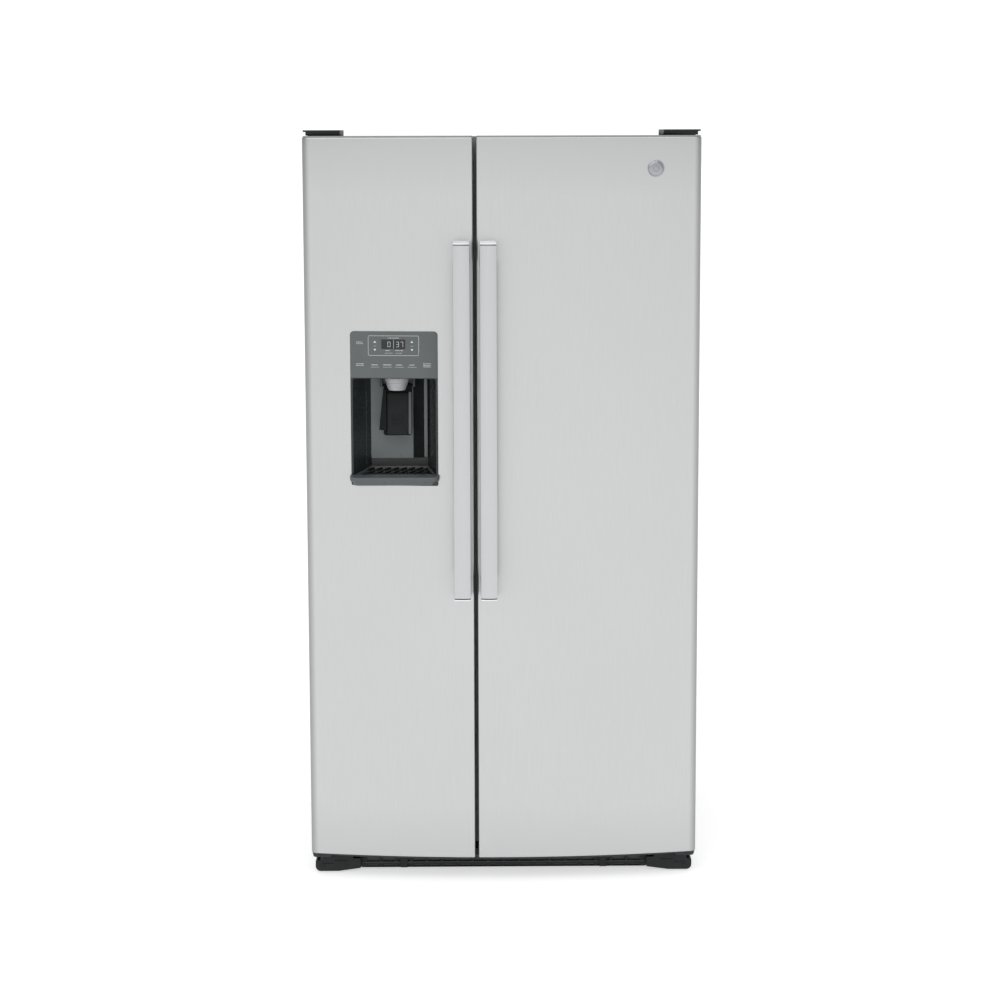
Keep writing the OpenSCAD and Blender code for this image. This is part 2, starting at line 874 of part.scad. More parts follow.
module fresh_door_liner() {
    color("whitesmoke") difference() {
        union() {
            block([fresh_edge + skin_t, plate_front, skin_z0], [door_x - skin_t, door_back, skin_z1]);
            dyke(fresh_dyke, 0, plate_front);
        }
        dyke(fresh_dyke, liner, plate_front - 5);
    }
}

// The magnetic seal around the back of a door
module gasket(x0, x1) {
    back = case_front - gasket_slack;
    difference() {
        block([x0, door_back, gasket_z0], [x1, back, gasket_z1]);
        block([x0 + gasket_w, door_back - 1, gasket_z0 + gasket_w],
              [x1 - gasket_w, back + 1, gasket_z1 - gasket_w]);
    }
}

module freezer_door_gasket() {
    color("gray") gasket(-pivot_x + 2, freezer_edge - 6);
}

module fresh_door_gasket() {
    color("gray") gasket(fresh_edge + 6, pivot_x - 2);
}

// The bores of both hinge bushes on one side
module bush_bores(side) {
    bar_z([side * pivot_x, pivot_y, door_z0 - 1], pin_r + play, pin_depth + 1);
    bar_z([side * pivot_x, pivot_y, door_z1 - pin_depth - 2], pin_r + play, pin_depth + 3);
}

module freezer_door_caps() {
    color("dimgray") difference() {
        union() {
            for (z = [door_z0, skin_z1])
                translate([0, 0, z]) linear_extrude(cap_t) freezer_outline(0.6, door_back - 0.6);
            bush_bosses(-1, 0);
        }
        bush_bores(-1);
    }
}

module fresh_door_caps() {
    color("dimgray") difference() {
        union() {
            for (z = [door_z0, skin_z1])
                translate([0, 0, z]) linear_extrude(cap_t) fresh_outline(0.6, door_back - 0.6);
            bush_bosses(1, 0);
        }
        bush_bores(1);
    }
}

// Outline of a handle's bar from above: a crowned front and round edges
function bar_outline(x) =
    let (
        crown = 4,
        h = handle_w / 2,
        big = (h * h + crown * crown) / (2 * crown),
        sweep = asin(h / big)
    )
    concat(
        arc([x, handle_front + big], big, 270 - sweep, 270 + sweep, 12),
        [[x + h, handle_front + handle_t], [x - h, handle_front + handle_t]]
    );

module handle(x) {
    translate([0, 0, handle_z0]) linear_extrude(handle_z1 - handle_z0) polygon(bar_outline(x));
    for (z = [handle_z0, handle_z1 - handle_post])
        block([x - handle_w / 2, handle_front + handle_t - 1, z],
              [x + handle_w / 2, door_front + 10, z + handle_post]);
}

module freezer_handle() {
    color("silver") difference() {
        handle(freezer_edge - handle_inset - handle_w / 2);
        freezer_body(handle_z0 - 1, handle_z1 + 1);
    }
}

module fresh_handle() {
    color("silver") difference() {
        handle(fresh_edge + handle_inset + handle_w / 2);
        fresh_body(handle_z0 - 1, handle_z1 + 1);
    }
}

// One door bin: a tray with a tall outer wall
module bin(x0, x1, back, z, height) {
    open_box([x0, door_back, z], [x1, back, z + height], wall);
}

freezer_bins = [1515, 1350, 770, 560, 350, 172];
fresh_bins = [1140, 895, 640, 380, 172];
freezer_bin_back = door_back + 122;
fresh_bin_back = door_back + 129;
dairy_z = [1425, 1555];

module freezer_door_bins() {
    color("lightcyan") for (z = freezer_bins)
        bin(freezer_dyke[0] + dyke_w, freezer_dyke[1] - dyke_w - 1, freezer_bin_back, z, 90);
}

module fresh_door_bins() {
    x0 = fresh_dyke[0] + dyke_w;
    x1 = fresh_dyke[1] - dyke_w;
    color("lightcyan") {
        for (z = fresh_bins)
            bin(x0, x1, fresh_bin_back, z, 110);
        difference() {
            block([x0, door_back, dairy_z[0]], [x1, fresh_bin_back, dairy_z[1]]);
            block([x0 + wall, door_back + wall, dairy_z[0] + wall],
                  [x1 - wall, fresh_bin_back + 1, dairy_z[1] - wall]);
            bar_x([x0 - 1, fresh_bin_back - 6, dairy_z[1] - 10], 2 + play, x1 - x0 + 2);
        }
    }
}

// The lid of the dairy compartment, hung from pins near its upper edge
module dairy_flap() {
    x0 = fresh_dyke[0] + dyke_w + wall + 1;
    x1 = fresh_dyke[1] - dyke_w - wall - 1;
    color("lightcyan") {
        block([x0, fresh_bin_back - 7.5, dairy_z[0] + wall + 1],
              [x1, fresh_bin_back - 4.5, dairy_z[1] - 7]);
        bar_x([x0 - 3, fresh_bin_back - 6, dairy_z[1] - 10], 2, x1 - x0 + 6);
        block([x0 + 120, fresh_bin_back - 4.5, dairy_z[0] + wall + 1],
              [x1 - 120, fresh_bin_back + 3, dairy_z[0] + wall + 6]);
    }
}

module badge() {
    tilt = asin(badge_x / bow_r);
    y = bow_y - sqrt(bow_r * bow_r - badge_x * badge_x);
    color("silver") difference() {
        translate([badge_x, y, badge_z]) rotate([90, 0, tilt]) {
            translate([0, 0, -2]) cylinder(r = badge_r, h = 4);
            difference() {
                cylinder(r = badge_r - 1, h = 3);
                translate([0, 0, 2.4]) cylinder(r = badge_r - 4, h = 2);
            }
        }
        fresh_body(badge_z - 30, badge_z + 30);
    }
}

// ---------- Dispenser ----------

// The recess narrows towards its back
module recess(inset, z0, z1) {
    translate([0, 0, z0]) linear_extrude(z1 - z0) polygon([
        [recess_front_x[0] + inset, panel_front()], [recess_front_x[1] - inset, panel_front()],
        [recess_front_x[1] - inset, door_front + 8], [recess_back_x[1] - inset, recess_back - inset],
        [recess_back_x[0] + inset, recess_back - inset], [recess_front_x[0] + inset, door_front + 30]
    ]);
}

function panel_front() = door_front - 30;

// The tub, the seat of the control panel, the chute and the bezel, before they are hollowed
module dispenser_block() {
    block([tub_x0, door_front - 20, tub_z0], [tub_x1, tub_back, panel_z0 + wall]);
    block([tub_x0, door_front - 20, panel_z0], [tub_x1, panel_back, tub_z1]);
    block([chute_x[0] - 2, panel_back - 1, panel_z0], [chute_x[1] + 2, chute_y[1] + 2, chute_top]);
    difference() {
        block([disp_x0, door_front - 20, disp_z0], [disp_x1, door_front + 40, disp_z1]);
        freezer_body(disp_z0 - 1, disp_z1 + 1);
    }
}

module dispenser_hollows() {
    recess(0, recess_floor, recess_top);
    block([chute_x[0], chute_y[0], recess_top - 1], [chute_x[1], chute_y[1], chute_top - 2]);
    block([chute_x[0], chute_y[0], chute_window[0]], [chute_x[1], chute_y[1] + 3, chute_window[1]]);
    block([tub_x0 + wall, door_front - 30, panel_z0 + 2], [tub_x1 - wall, panel_back - wall, tub_z1 - 2]);
}

module dispenser_housing() {
    color("black") difference() {
        union() {
            difference() {
                intersection() {
                    dispenser_block();
                    behind_front(bezel, disp_z0 - 1, chute_top + 1);
                }
                dispenser_hollows();
            }
            for (x = [paddle_x - paddle_w / 2 - 8, paddle_x + paddle_w / 2 + 2])
                block([x, paddle_y - 7, paddle_z - 7], [x + 6, paddle_y + 7, recess_top + 1]);
        }
        bar_x([paddle_x - paddle_w / 2 - 6, paddle_y, paddle_z], paddle_pin_r + play, paddle_w + 12);
        bar_x([chute_x[0] - 1.5, flap_pin_y, flap_pin_z], flap_pin_r + play, 71);
    }
}

// The place of the display in the control panel
module display_block() {
    block([-277, door_front - 20, 1254], [-222, door_back, 1276]);
}

module control_panel() {
    color("slategray") difference() {
        intersection() {
            block([tub_x0 + wall + 0.1, door_front - 20, panel_z0 + 2.1],
                  [tub_x1 - wall - 0.1, door_back, tub_z1 - 2.1]);
            behind_front(bezel + 0.5, disp_z0, disp_z1);
        }
        behind_front(-3, disp_z0 - 1, disp_z1 + 1);
        display_block();
    }
}

module display_window() {
    color("black") difference() {
        intersection() {
            display_block();
            behind_front(bezel + 0.2, disp_z0, disp_z1);
        }
        behind_front(-2, disp_z0 - 1, disp_z1 + 1);
    }
}

module dispenser_nozzle() {
    color("silver") translate([spout_x, spout_y, recess_top - spout_h]) difference() {
        union() {
            cylinder(r1 = 20, r2 = 22, h = spout_h);
            translate([-25, -16, 12]) cube([50, 26, spout_h - 12]);
        }
        translate([0, 0, -1]) cylinder(r = 15, h = spout_h + 2);
    }
}

// The tray under the spout, with a sloping grille and a lip in front of the door
module drip_tray() {
    floor_z = recess_floor + 0.5;
    slots = 9;
    color("dimgray") difference() {
        union() {
            intersection() {
                recess(1.5, floor_z - 1, floor_z + 60);
                along_x(disp_x0, disp_x1) polygon([
                    [door_front - 12, floor_z], [recess_back, floor_z],
                    [recess_back, floor_z + 24], [door_front - 12, floor_z + 9]
                ]);
            }
            difference() {
                rounded_block([disp_x0, door_front - 18, floor_z], [disp_x1, door_front + 30, floor_z + 11], 8);
                behind_front(bezel + 0.4, floor_z - 1, floor_z + 20);
            }
        }
        intersection() {
            recess(5, floor_z + 2, floor_z + 60);
            along_x(disp_x0, disp_x1) polygon([
                [door_front + 4, floor_z + 2], [recess_back - 5, floor_z + 2],
                [recess_back - 5, floor_z + 19], [door_front + 4, floor_z + 6]
            ]);
        }
        intersection() {
            recess(8, floor_z + 3, floor_z + 60);
            block([disp_x0, door_front + 12, floor_z], [disp_x1, recess_back - 8, floor_z + 60]);
            for (i = [0:slots - 1])
                translate([recess_back_x[0] - 20 + i * 21, -330, floor_z]) rotate([0, 0, -30])
                    block([-4, -70, 3], [4, 70, 60]);
        }
    }
}

// The lever behind the glass, which leans forward at rest
module dispenser_paddle() {
    color("black") translate([paddle_x, paddle_y, paddle_z]) {
        bar_x([-paddle_w / 2 - 5.5, 0, 0], paddle_pin_r, paddle_w + 11);
        rotate([-paddle_tilt, 0, 0]) {
            block([-paddle_w / 2, -2, -paddle_len], [paddle_w / 2, 2, 4]);
            for (s = [-1, 1])
                block([s * (paddle_w / 2 - 3) - 3, -12, -paddle_len], [s * (paddle_w / 2 - 3) + 3, -2, -30]);
            block([-paddle_w / 2, -16, -paddle_len], [paddle_w / 2, -2, -paddle_len + 5]);
        }
    }
}

// The lid in the ice chute, which the paddle lifts
module ice_chute_flap() {
    color("white") {
        bar_x([chute_x[0] - 1.2, flap_pin_y, flap_pin_z], flap_pin_r, 70.4);
        block([chute_x[0] + 1, chute_y[0] + 1, flap_pin_z - 1.2],
              [chute_x[1] - 1, flap_pin_y, flap_pin_z + 1.2]);
    }
}

// ---------- Assembly ----------

outer_case();
rear_panel();
cabinet_foam();
freezer_liner();
fresh_food_liner();
base_frame();
base_grille();
leg_covers();
top_hinges();
bottom_hinges();
hinge_covers();
leveling_legs();
compressor();
condenser_coil();
fan_motors();
machine_cover();
water_valve();
power_inlet();
evaporator_coil();
evaporator_cover();
ice_maker();
freezer_shelves();
glass_shelves();
crisper_frame();
filter_housing();
condenser_fan();
evaporator_fan();
ice_bucket();
ice_auger();
icemaker_arm();
freezer_basket();
crisper_upper();
crisper_lower();
humidity_slider();
water_filter();
rear_roller_left();
rear_roller_right();
freezer_door_skin();
freezer_door_foam();
freezer_door_liner();
freezer_door_gasket();
freezer_door_caps();
freezer_handle();
freezer_door_bins();
dispenser_housing();
control_panel();
display_window();
dispenser_nozzle();
drip_tray();
dispenser_paddle();
ice_chute_flap();
fresh_door_skin();
fresh_door_foam();
fresh_door_liner();
fresh_door_gasket();
fresh_door_caps();
fresh_handle();
fresh_door_bins();
dairy_flap();
badge();
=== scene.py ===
import json
import math
import random

import bmesh
import bpy
from mathutils import Matrix, Vector


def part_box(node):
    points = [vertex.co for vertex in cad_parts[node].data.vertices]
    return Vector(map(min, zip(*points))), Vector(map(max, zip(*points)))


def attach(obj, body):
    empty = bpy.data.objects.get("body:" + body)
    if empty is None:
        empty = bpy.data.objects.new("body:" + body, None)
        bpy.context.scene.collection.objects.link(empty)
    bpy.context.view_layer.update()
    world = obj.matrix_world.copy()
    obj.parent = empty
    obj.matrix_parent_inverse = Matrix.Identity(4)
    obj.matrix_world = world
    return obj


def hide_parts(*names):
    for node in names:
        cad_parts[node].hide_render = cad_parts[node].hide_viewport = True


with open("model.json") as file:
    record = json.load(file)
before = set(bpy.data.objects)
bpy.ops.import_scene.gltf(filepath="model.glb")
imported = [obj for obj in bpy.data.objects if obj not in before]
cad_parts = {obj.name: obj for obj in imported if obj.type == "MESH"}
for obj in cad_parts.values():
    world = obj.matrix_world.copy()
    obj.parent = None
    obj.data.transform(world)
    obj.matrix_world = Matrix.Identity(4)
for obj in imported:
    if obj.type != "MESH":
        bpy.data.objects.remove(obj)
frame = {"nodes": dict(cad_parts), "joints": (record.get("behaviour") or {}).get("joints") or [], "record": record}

# Side by side refrigerator. Metres: X to the right, Y to the back, Z up.
nodes = frame["nodes"]
slot_of = {p["node"]: p["material_slot"] for p in frame["record"]["subparts"]}
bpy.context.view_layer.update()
rng = random.Random(7)


# ---------- Materials ----------

class Nodes:
    """Builds shader nodes in one node tree."""

    def __init__(self, tree):
        self.tree = tree

    def add(self, kind, **values):
        node = self.tree.nodes.new(kind)
        for key, value in values.items():
            if hasattr(node, key):
                setattr(node, key, value)
            else:
                node.inputs[key.replace("_", " ")].default_value = value
        return node

    def link(self, a, b):
        self.tree.links.new(a, b)

    def spread(self, fac, low, high, start=0.3, end=0.7):
        """Carries fac's stretch from start to end over to low and high."""
        node = self.add("ShaderNodeMapRange")
        node.inputs["From Min"].default_value = start
        node.inputs["From Max"].default_value = end
        node.inputs["To Min"].default_value = low
        node.inputs["To Max"].default_value = high
        self.link(fac, node.inputs["Value"])
        return node.outputs["Result"]

    def mix(self, fac, a, b):
        node = self.add("ShaderNodeMix", data_type="RGBA")
        self.link(fac, node.inputs["Factor"])
        for socket, value in zip(("A", "B"), (a, b)):
            entry = [s for s in node.inputs if s.name == socket and s.type == "RGBA"][0]
            if isinstance(value, tuple):
                entry.default_value = (*value, 1)
            else:
                self.link(value, entry)
        return [s for s in node.outputs if s.type == "RGBA"][0]

    def along(self, coords, axis, mirrored):
        """One coordinate, without its sign when mirrored."""
        axes = self.add("ShaderNodeSeparateXYZ")
        self.link(self.add("ShaderNodeTexCoord").outputs[coords], axes.inputs["Vector"])
        if not mirrored:
            return axes.outputs[axis]
        size = self.add("ShaderNodeMath", operation="ABSOLUTE")
        self.link(axes.outputs[axis], size.inputs[0])
        return size.outputs["Value"]


class Paint(Nodes):
    """A procedural material whose pattern lies in the part's own metres."""

    def __init__(self, name, colour, metallic=0.0):
        self.mat = bpy.data.materials.new(name)
        self.mat.use_nodes = True
        super().__init__(self.mat.node_tree)
        self.shader = self.tree.nodes["Principled BSDF"]
        self.colour = colour
        self.set("Metallic", metallic)
        self.place = self.add("ShaderNodeTexCoord").outputs["Object"]
        self.normal = None

    def set(self, socket, value):
        self.shader.inputs[socket].default_value = value

    def noise(self, scale, stretch=(1, 1, 1), detail=3.0):
        turn = self.add("ShaderNodeMapping")
        turn.inputs["Scale"].default_value = stretch
        self.link(self.place, turn.inputs["Vector"])
        node = self.add("ShaderNodeTexNoise", Scale=scale, Detail=detail)
        self.link(turn.outputs["Vector"], node.inputs["Vector"])
        return node.outputs["Fac"]

    def edge_mask(self, radius):
        """1 along outer edges, 0 on flats, from how far a rounded normal turns away."""
        bevel = self.add("ShaderNodeBevel", samples=4)
        bevel.inputs["Radius"].default_value = radius
        plain = self.add("ShaderNodeNewGeometry")
        dot = self.add("ShaderNodeVectorMath", operation="DOT_PRODUCT")
        self.link(bevel.outputs["Normal"], dot.inputs[0])
        self.link(plain.outputs["Normal"], dot.inputs[1])
        return self.spread(dot.outputs["Value"], 1.0, 0.0, 0.82, 0.995)

    def bump(self, fac, strength, depth):
        node = self.add("ShaderNodeBump", Strength=strength)
        node.inputs["Distance"].default_value = depth
        self.link(fac, node.inputs["Height"])
        if self.normal is not None:
            self.link(self.normal, node.inputs["Normal"])
        self.normal = node.outputs["Normal"]

    def finish(self, tone, rough, worn=None, wear=0.0, edge=0.0006):
        """Colour and roughness vary with the two patterns; edges are worn towards a colour."""
        dark = tuple(c * tone[0] for c in self.colour)
        light = tuple(min(c * tone[1], 1.0) for c in self.colour)
        colour = self.mix(self.spread(tone[2], 0.0, 1.0), dark, light)
        if worn and wear:
            mask = self.edge_mask(edge)
            scuff = self.add("ShaderNodeMath", operation="MULTIPLY")
            self.link(mask, scuff.inputs[0])
            self.link(self.spread(self.noise(140), 0.0, wear), scuff.inputs[1])
            colour = self.mix(scuff.outputs["Value"], colour, worn)
        self.link(colour, self.shader.inputs["Base Color"])
        self.link(self.spread(rough[2], rough[0], rough[1]), self.shader.inputs["Roughness"])
        if self.normal is not None:
            self.link(self.normal, self.shader.inputs["Normal"])
        return self.mat


def brushed(name, colour, rough, along="z", grain=0.06):
    """Metal with fine lines along one axis, faint smudges and soft waves in its sheet."""
    p = Paint(name, colour, 1.0)
    stretch = {"x": (0.012, 1, 1), "y": (1, 0.012, 1), "z": (1, 1, 0.012)}[along]
    lines = p.noise(1600, stretch, 2.0)
    smudge = p.noise(3.5)
    p.bump(lines, grain, 0.00002)
    p.bump(p.noise(2.2), 0.08, 0.004)
    p.set("Anisotropic", 0.35)
    both = p.add("ShaderNodeMath", operation="MULTIPLY")
    p.link(lines, both.inputs[0])
    p.link(p.spread(smudge, 0.9, 1.1), both.inputs[1])
    return p.finish((0.965, 1.03, both.outputs["Value"]), (rough - 0.05, rough + 0.06, lines))


def moulded(name, colour, rough, grain=0.25, size=900, gloss=0.5, wear=0.35):
    """Plastic with a fine spark-eroded grain, its edges polished by wear."""
    p = Paint(name, colour)
    p.set("Specular IOR Level", gloss)
    p.bump(p.noise(size, detail=2.0), grain, 0.00008)
    blotch = p.noise(9)
    light = tuple(min(c * 1.35 + 0.01, 1.0) for c in colour)
    return p.finish((0.93, 1.06, blotch), (rough - 0.07, rough + 0.07, p.noise(45)), light, wear)


def smooth(name, colour, rough, grain, size, gloss=0.5):
    """Moulded plastic without worn edges."""
    return moulded(name, colour, rough, grain, size, gloss, 0.0)


def painted(name, colour, rough, pebble=0.45, size=420):
    """Sheet steel with pebbled enamel, rubbed a little at its folds."""
    p = Paint(name, colour)
    p.bump(p.noise(size, detail=1.5), pebble, 0.00015)
    p.bump(p.noise(3), 0.1, 0.004)
    p.set("Coat Weight", 0.15)
    p.set("Coat Roughness", 0.3)
    return p.finish((0.95, 1.04, p.noise(4)), (rough - 0.06, rough + 0.08, p.noise(30)),
                    tuple(min(c * 1.5 + 0.03, 1.0) for c in colour), 0.5, 0.0012)


def clear(name, colour, rough, ior=1.5, clarity=1.0):
    """Glass or clear plastic with fine scratches and faint clouding."""
    p = Paint(name, colour)
    p.set("Transmission Weight", clarity)
    p.set("IOR", ior)
    p.bump(p.noise(300, (1, 0.05, 1)), 0.03, 0.00005)
    return p.finish((0.97, 1.0, p.noise(12)), (rough, rough + 0.08, p.noise(25)))


def rubber(name, colour, rough):
    """Matt rubber with a fine grain."""
    p = Paint(name, colour)
    p.set("Specular IOR Level", 0.25)
    p.set("Sheen Weight", 0.1)
    p.bump(p.noise(700), 0.4, 0.0001)
    return p.finish((0.85, 1.15, p.noise(30)), (rough - 0.05, rough + 0.1, p.noise(60)))


def foamed(name, colour):
    """Poured foam: small closed cells and uneven tone."""
    p = Paint(name, colour)
    cells = p.add("ShaderNodeTexVoronoi", Scale=260)
    p.link(p.place, cells.inputs["Vector"])
    p.bump(cells.outputs["Distance"], 0.7, 0.001)
    return p.finish((0.85, 1.08, p.noise(14)), (0.8, 0.98, p.noise(50)))


def glow(name, colour, strength):
    """Lit marks: a tinted plastic with a faint light of its own, uneven from dot to dot."""
    p = Paint(name, colour)
    p.set("Emission Color", (*colour, 1))
    p.set("Emission Strength", strength)
    p.bump(p.noise(2500), 0.1, 0.00003)
    return p.finish((0.9, 1.0, p.noise(800)), (0.3, 0.5, p.noise(400)))


def tint(mat, axis, start, end, colour, mirrored=False):
    """Mixes in another colour as the object's own coordinate passes from start to end."""
    shading = Nodes(mat.node_tree)
    socket = shading.tree.nodes["Principled BSDF"].inputs["Base Color"]
    before = socket.links[0].from_socket
    fac = shading.spread(shading.along("Object", axis, mirrored), 0.0, 1.0, start, end)
    shading.link(shading.mix(fac, before, colour), socket)


STEEL = (0.565, 0.577, 0.575)
BLACK = (0.022, 0.026, 0.026)
SLATE = (0.094, 0.106, 0.107)
WHITE = (0.80, 0.81, 0.80)

# Each slot: the kind of finish, then its colour, roughness and grain
finishes = {
    "stainless": (brushed, STEEL, 0.33),
    "case_paint": (painted, (0.30, 0.31, 0.315), 0.42),
    "rear_steel": (brushed, (0.52, 0.53, 0.53), 0.42, "x", 0.03),
    "base_steel": (painted, (0.02, 0.022, 0.023), 0.5, 0.2),
    "foam": (foamed, (0.75, 0.68, 0.48)),
    "liner_plastic": (smooth, WHITE, 0.32, 0.05, 320),
    "trim_plastic": (moulded, (0.010, 0.013, 0.0135), 0.5, 0.3, 700, 0.3),
    "hinge_steel": (painted, (0.014, 0.016, 0.017), 0.5, 0.2),
    "zinc_steel": (brushed, (0.62, 0.62, 0.60), 0.35, "x"),
    "compressor_paint": (painted, (0.012, 0.012, 0.013), 0.35, 0.2),
    "coil_aluminium": (brushed, (0.7, 0.7, 0.71), 0.38, "x"),
    "motor_plastic": (moulded, (0.05, 0.05, 0.052), 0.5),
    "fan_plastic": (moulded, (0.10, 0.10, 0.105), 0.45),
    "valve_plastic": (moulded, (0.65, 0.66, 0.64), 0.45),
    "inlet_plastic": (moulded, BLACK, 0.4),
    "white_plastic": (smooth, (0.76, 0.77, 0.76), 0.38, 0.12, 400),
    "shelf_wire": (painted, (0.78, 0.79, 0.78), 0.35, 0.1, 900),
    "shelf_glass": (clear, (0.90, 0.97, 0.95), 0.01, 1.3, 0.9),
    "clear_plastic": (clear, (0.95, 0.97, 0.98), 0.08, 1.2, 0.72),
    "bucket_plastic": (smooth, (0.72, 0.74, 0.75), 0.3, 0.1, 400),
    "auger_steel": (brushed, (0.62, 0.62, 0.6), 0.3, "y"),
    "arm_wire": (brushed, (0.6, 0.6, 0.58), 0.32, "y"),
    "slider_plastic": (moulded, (0.30, 0.33, 0.34), 0.4),
    "roller_plastic": (moulded, (0.03, 0.03, 0.03), 0.55),
    "gasket_rubber": (rubber, (0.030, 0.034, 0.034), 0.6),
    "cap_plastic": (moulded, (0.26, 0.27, 0.27), 0.45),
    "handle_metal": (brushed, (0.565, 0.57, 0.58), 0.36),
    "dispenser_plastic": (smooth, BLACK, 0.30, 0.05, 900),
    "panel_plastic": (smooth, SLATE, 0.33, 0.06, 1200),
    "display_black": (moulded, (0.008, 0.009, 0.011), 0.08, 0.02, 300),
    "spout_metal": (moulded, (0.42, 0.425, 0.44), 0.34, 0.1, 900, 0.7),
    "tray_plastic": (moulded, (0.085, 0.095, 0.1), 0.32, 0.15, 700),
    "paddle_plastic": (moulded, BLACK, 0.3, 0.1, 500),
    "flap_plastic": (moulded, (0.10, 0.11, 0.11), 0.4),
    "badge_metal": (brushed, (0.385, 0.39, 0.415), 0.28, "x"),
}
# Looks that share a slot with another finish
extra = {
    "print_white": (glow, (0.58, 0.61, 0.61), 0.2),
    "digit_light": (glow, (0.45, 0.50, 0.50), 0.22),
    "recess_grey": (smooth, (0.165, 0.187, 0.187), 0.34, 0.05, 900),
    # Near-black plastic, also used as painted shade on the splash panel's side facet
    "recess_shade": (smooth, (0.009, 0.012, 0.012), 0.55, 0.05, 900, 0.1),
    # Mid grey for the left wall's rib and the paddle's right strip, a painted highlight on them
    "recess_edge": (smooth, (0.085, 0.098, 0.098), 0.34, 0.05, 900),
    "pad_black": (rubber, (0.008, 0.011, 0.011), 0.6),
    # Near white for the handles' end plates, a painted highlight
    "bar_end": (moulded, (0.82, 0.83, 0.84), 0.25, 0.04, 900),
    "chrome_trim": (brushed, (0.75, 0.76, 0.77), 0.16, "x", 0.02),
    "lamp_lens": (moulded, (0.9, 0.92, 0.93), 0.25, 0.3, 250),
    # Near black for dark sheets and slots that stand in as painted shade
    "vent_dark": (moulded, (0.05, 0.055, 0.055), 0.6),
    "tray_sill": (moulded, (0.10, 0.112, 0.118), 0.3, 0.1, 700),
    "grille_black": (moulded, (0.013, 0.016, 0.016), 0.25, 0.1, 600),
}
for looks in (finishes, extra):
    for name, (kind, *values) in looks.items():
        looks[name] = kind(name, *values)

# The lower end caps are black; painted shade darkens the steel towards the doors' ends and at their rolled sides.
tint(finishes["cap_plastic"], "Z", 0.9, 0.89, (0.009, 0.012, 0.012))
for axis, start, end, share in (("Z", 1.60, 1.72, 0.92), ("Z", 0.18, 0.06, 0.93),
                                ("X", 0.438, 0.4535, 0.55)):
    tint(finishes["stainless"], axis, start, end, tuple(c * share for c in STEEL), mirrored=axis == "X")

for name, obj in nodes.items():
    obj.data.materials.clear()
    obj.data.materials.append(finishes[slot_of[name]])
    obj.data.shade_smooth()
    obj.data.set_sharp_from_angle(angle=math.radians(28))


# ---------- Mesh building ----------

class Shape:
    """Collects closed forms in one mesh."""

    def __init__(self):
        self.bm = bmesh.new()

    def block(self, low, high, radius=0.0, segments=3):
        verts = bmesh.ops.create_cube(self.bm, size=1.0)["verts"]
        for v in verts:
            v.co = Vector(low[i] + (v.co[i] + 0.5) * (high[i] - low[i]) for i in range(3))
        if radius:
            edges = list({e for v in verts for e in v.link_edges})
            bmesh.ops.bevel(self.bm, geom=edges, offset=radius, segments=segments,
                            profile=0.5, affect="EDGES", clamp_overlap=True)
        return self

    def loft(self, rings, caps=True):
        """Joins rings of points, each a closed loop."""
        rows = [[self.bm.verts.new(p) for p in ring] for ring in rings]
        count = len(rows[0])
        for a, b in zip(rows, rows[1:]):
            for i in range(count):
                j = (i + 1) % count
                self.bm.faces.new((a[i], a[j], b[j], b[i]))
        if caps:
            self.bm.faces.new(rows[0][::-1])
            self.bm.faces.new(rows[-1])
        return self

    def prism(self, outline, axis, stops):
        """An outline in the two axes other than axis, carried along it through stops."""
        others = [i for i in range(3) if i != axis]
        rings = []
        for t in stops:
            ring = []
            for u, v in outline:
                p = [0.0, 0.0, 0.0]
                p[others[0]], p[others[1]], p[axis] = u, v, t
                ring.append(p)
            rings.append(ring)
        return self.loft(rings)

    def lathe(self, centre, axis, profile, steps=32):
        """A profile of (radius, distance along axis), turned about the axis."""
        others = [i for i in range(3) if i != axis]
        rings = []
        for radius, along in profile:
            ring = []
            for k in range(steps):
                a = 2 * math.pi * k / steps
                p = list(centre)
                p[others[0]] += radius * math.cos(a)
                p[others[1]] += radius * math.sin(a)
                p[axis] += along
                ring.append(p)
            rings.append(ring)
        return self.loft(rings)

    def screw(self, centre, tall, radius=0.0042):
        """A pan head with a raised cross, facing +Y."""
        head = [(radius, 0), (radius, 0.25), (radius * 0.86, 0.5), (radius * 0.5, 0.62), (0.0001, 0.66)]
        self.lathe(centre, 1, [(r, h * radius * tall) for r, h in head], 20)
        x, y, z = centre
        for wide, high in ((0.5, 0.1), (0.1, 0.5)):
            self.block((x - radius * wide, y + radius * 0.3 * tall, z - radius * high),
                       (x + radius * wide, y + radius * 0.7 * tall, z + radius * high))
        return self

    def bend(self, move):
        for v in self.bm.verts:
            v.co = Vector(move(*v.co))
        return self

    def piece(self, name, body, slot, material=None, bevel=0.0, segments=3, angle=30):
        bmesh.ops.remove_doubles(self.bm, verts=self.bm.verts, dist=1e-7)
        bmesh.ops.recalc_face_normals(self.bm, faces=self.bm.faces)
        mesh = bpy.data.meshes.new(name)
        self.bm.to_mesh(mesh)
        self.bm.free()
        obj = bpy.data.objects.new(name, mesh)
        bpy.context.scene.collection.objects.link(obj)
        mesh.materials.append(material or finishes[slot])
        if bevel:
            mod = obj.modifiers.new("edges", "BEVEL")
            mod.width = bevel
            mod.segments = segments
            mod.limit_method = "ANGLE"
            mod.angle_limit = math.radians(angle)
            mod.harden_normals = True
        mesh.shade_smooth()
        mesh.set_sharp_from_angle(angle=math.radians(angle))
        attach(obj, body)
        return obj


def corner(x, y, radius, start, steps=6):
    """Points of a quarter turn from an angle in degrees."""
    return [(x + radius * math.cos(math.radians(start + 90 * k / steps)),
             y + radius * math.sin(math.radians(start + 90 * k / steps))) for k in range(steps + 1)]


def rounded(x0, x1, z0, z1, radii, steps=6):
    """A rectangle's outline; radii are for low-left, low-right, top-right and top-left."""
    a, b, c, d = radii
    return (corner(x0 + a, z0 + a, a, 180, steps) + corner(x1 - b, z0 + b, b, 270, steps)
            + corner(x1 - c, z1 - c, c, 0, steps) + corner(x0 + d, z1 - d, d, 90, steps))


def spaced(low, high, count):
    return [low + (high - low) * i / (count - 1) for i in range(count)]


# ---------- The bow over both doors ----------

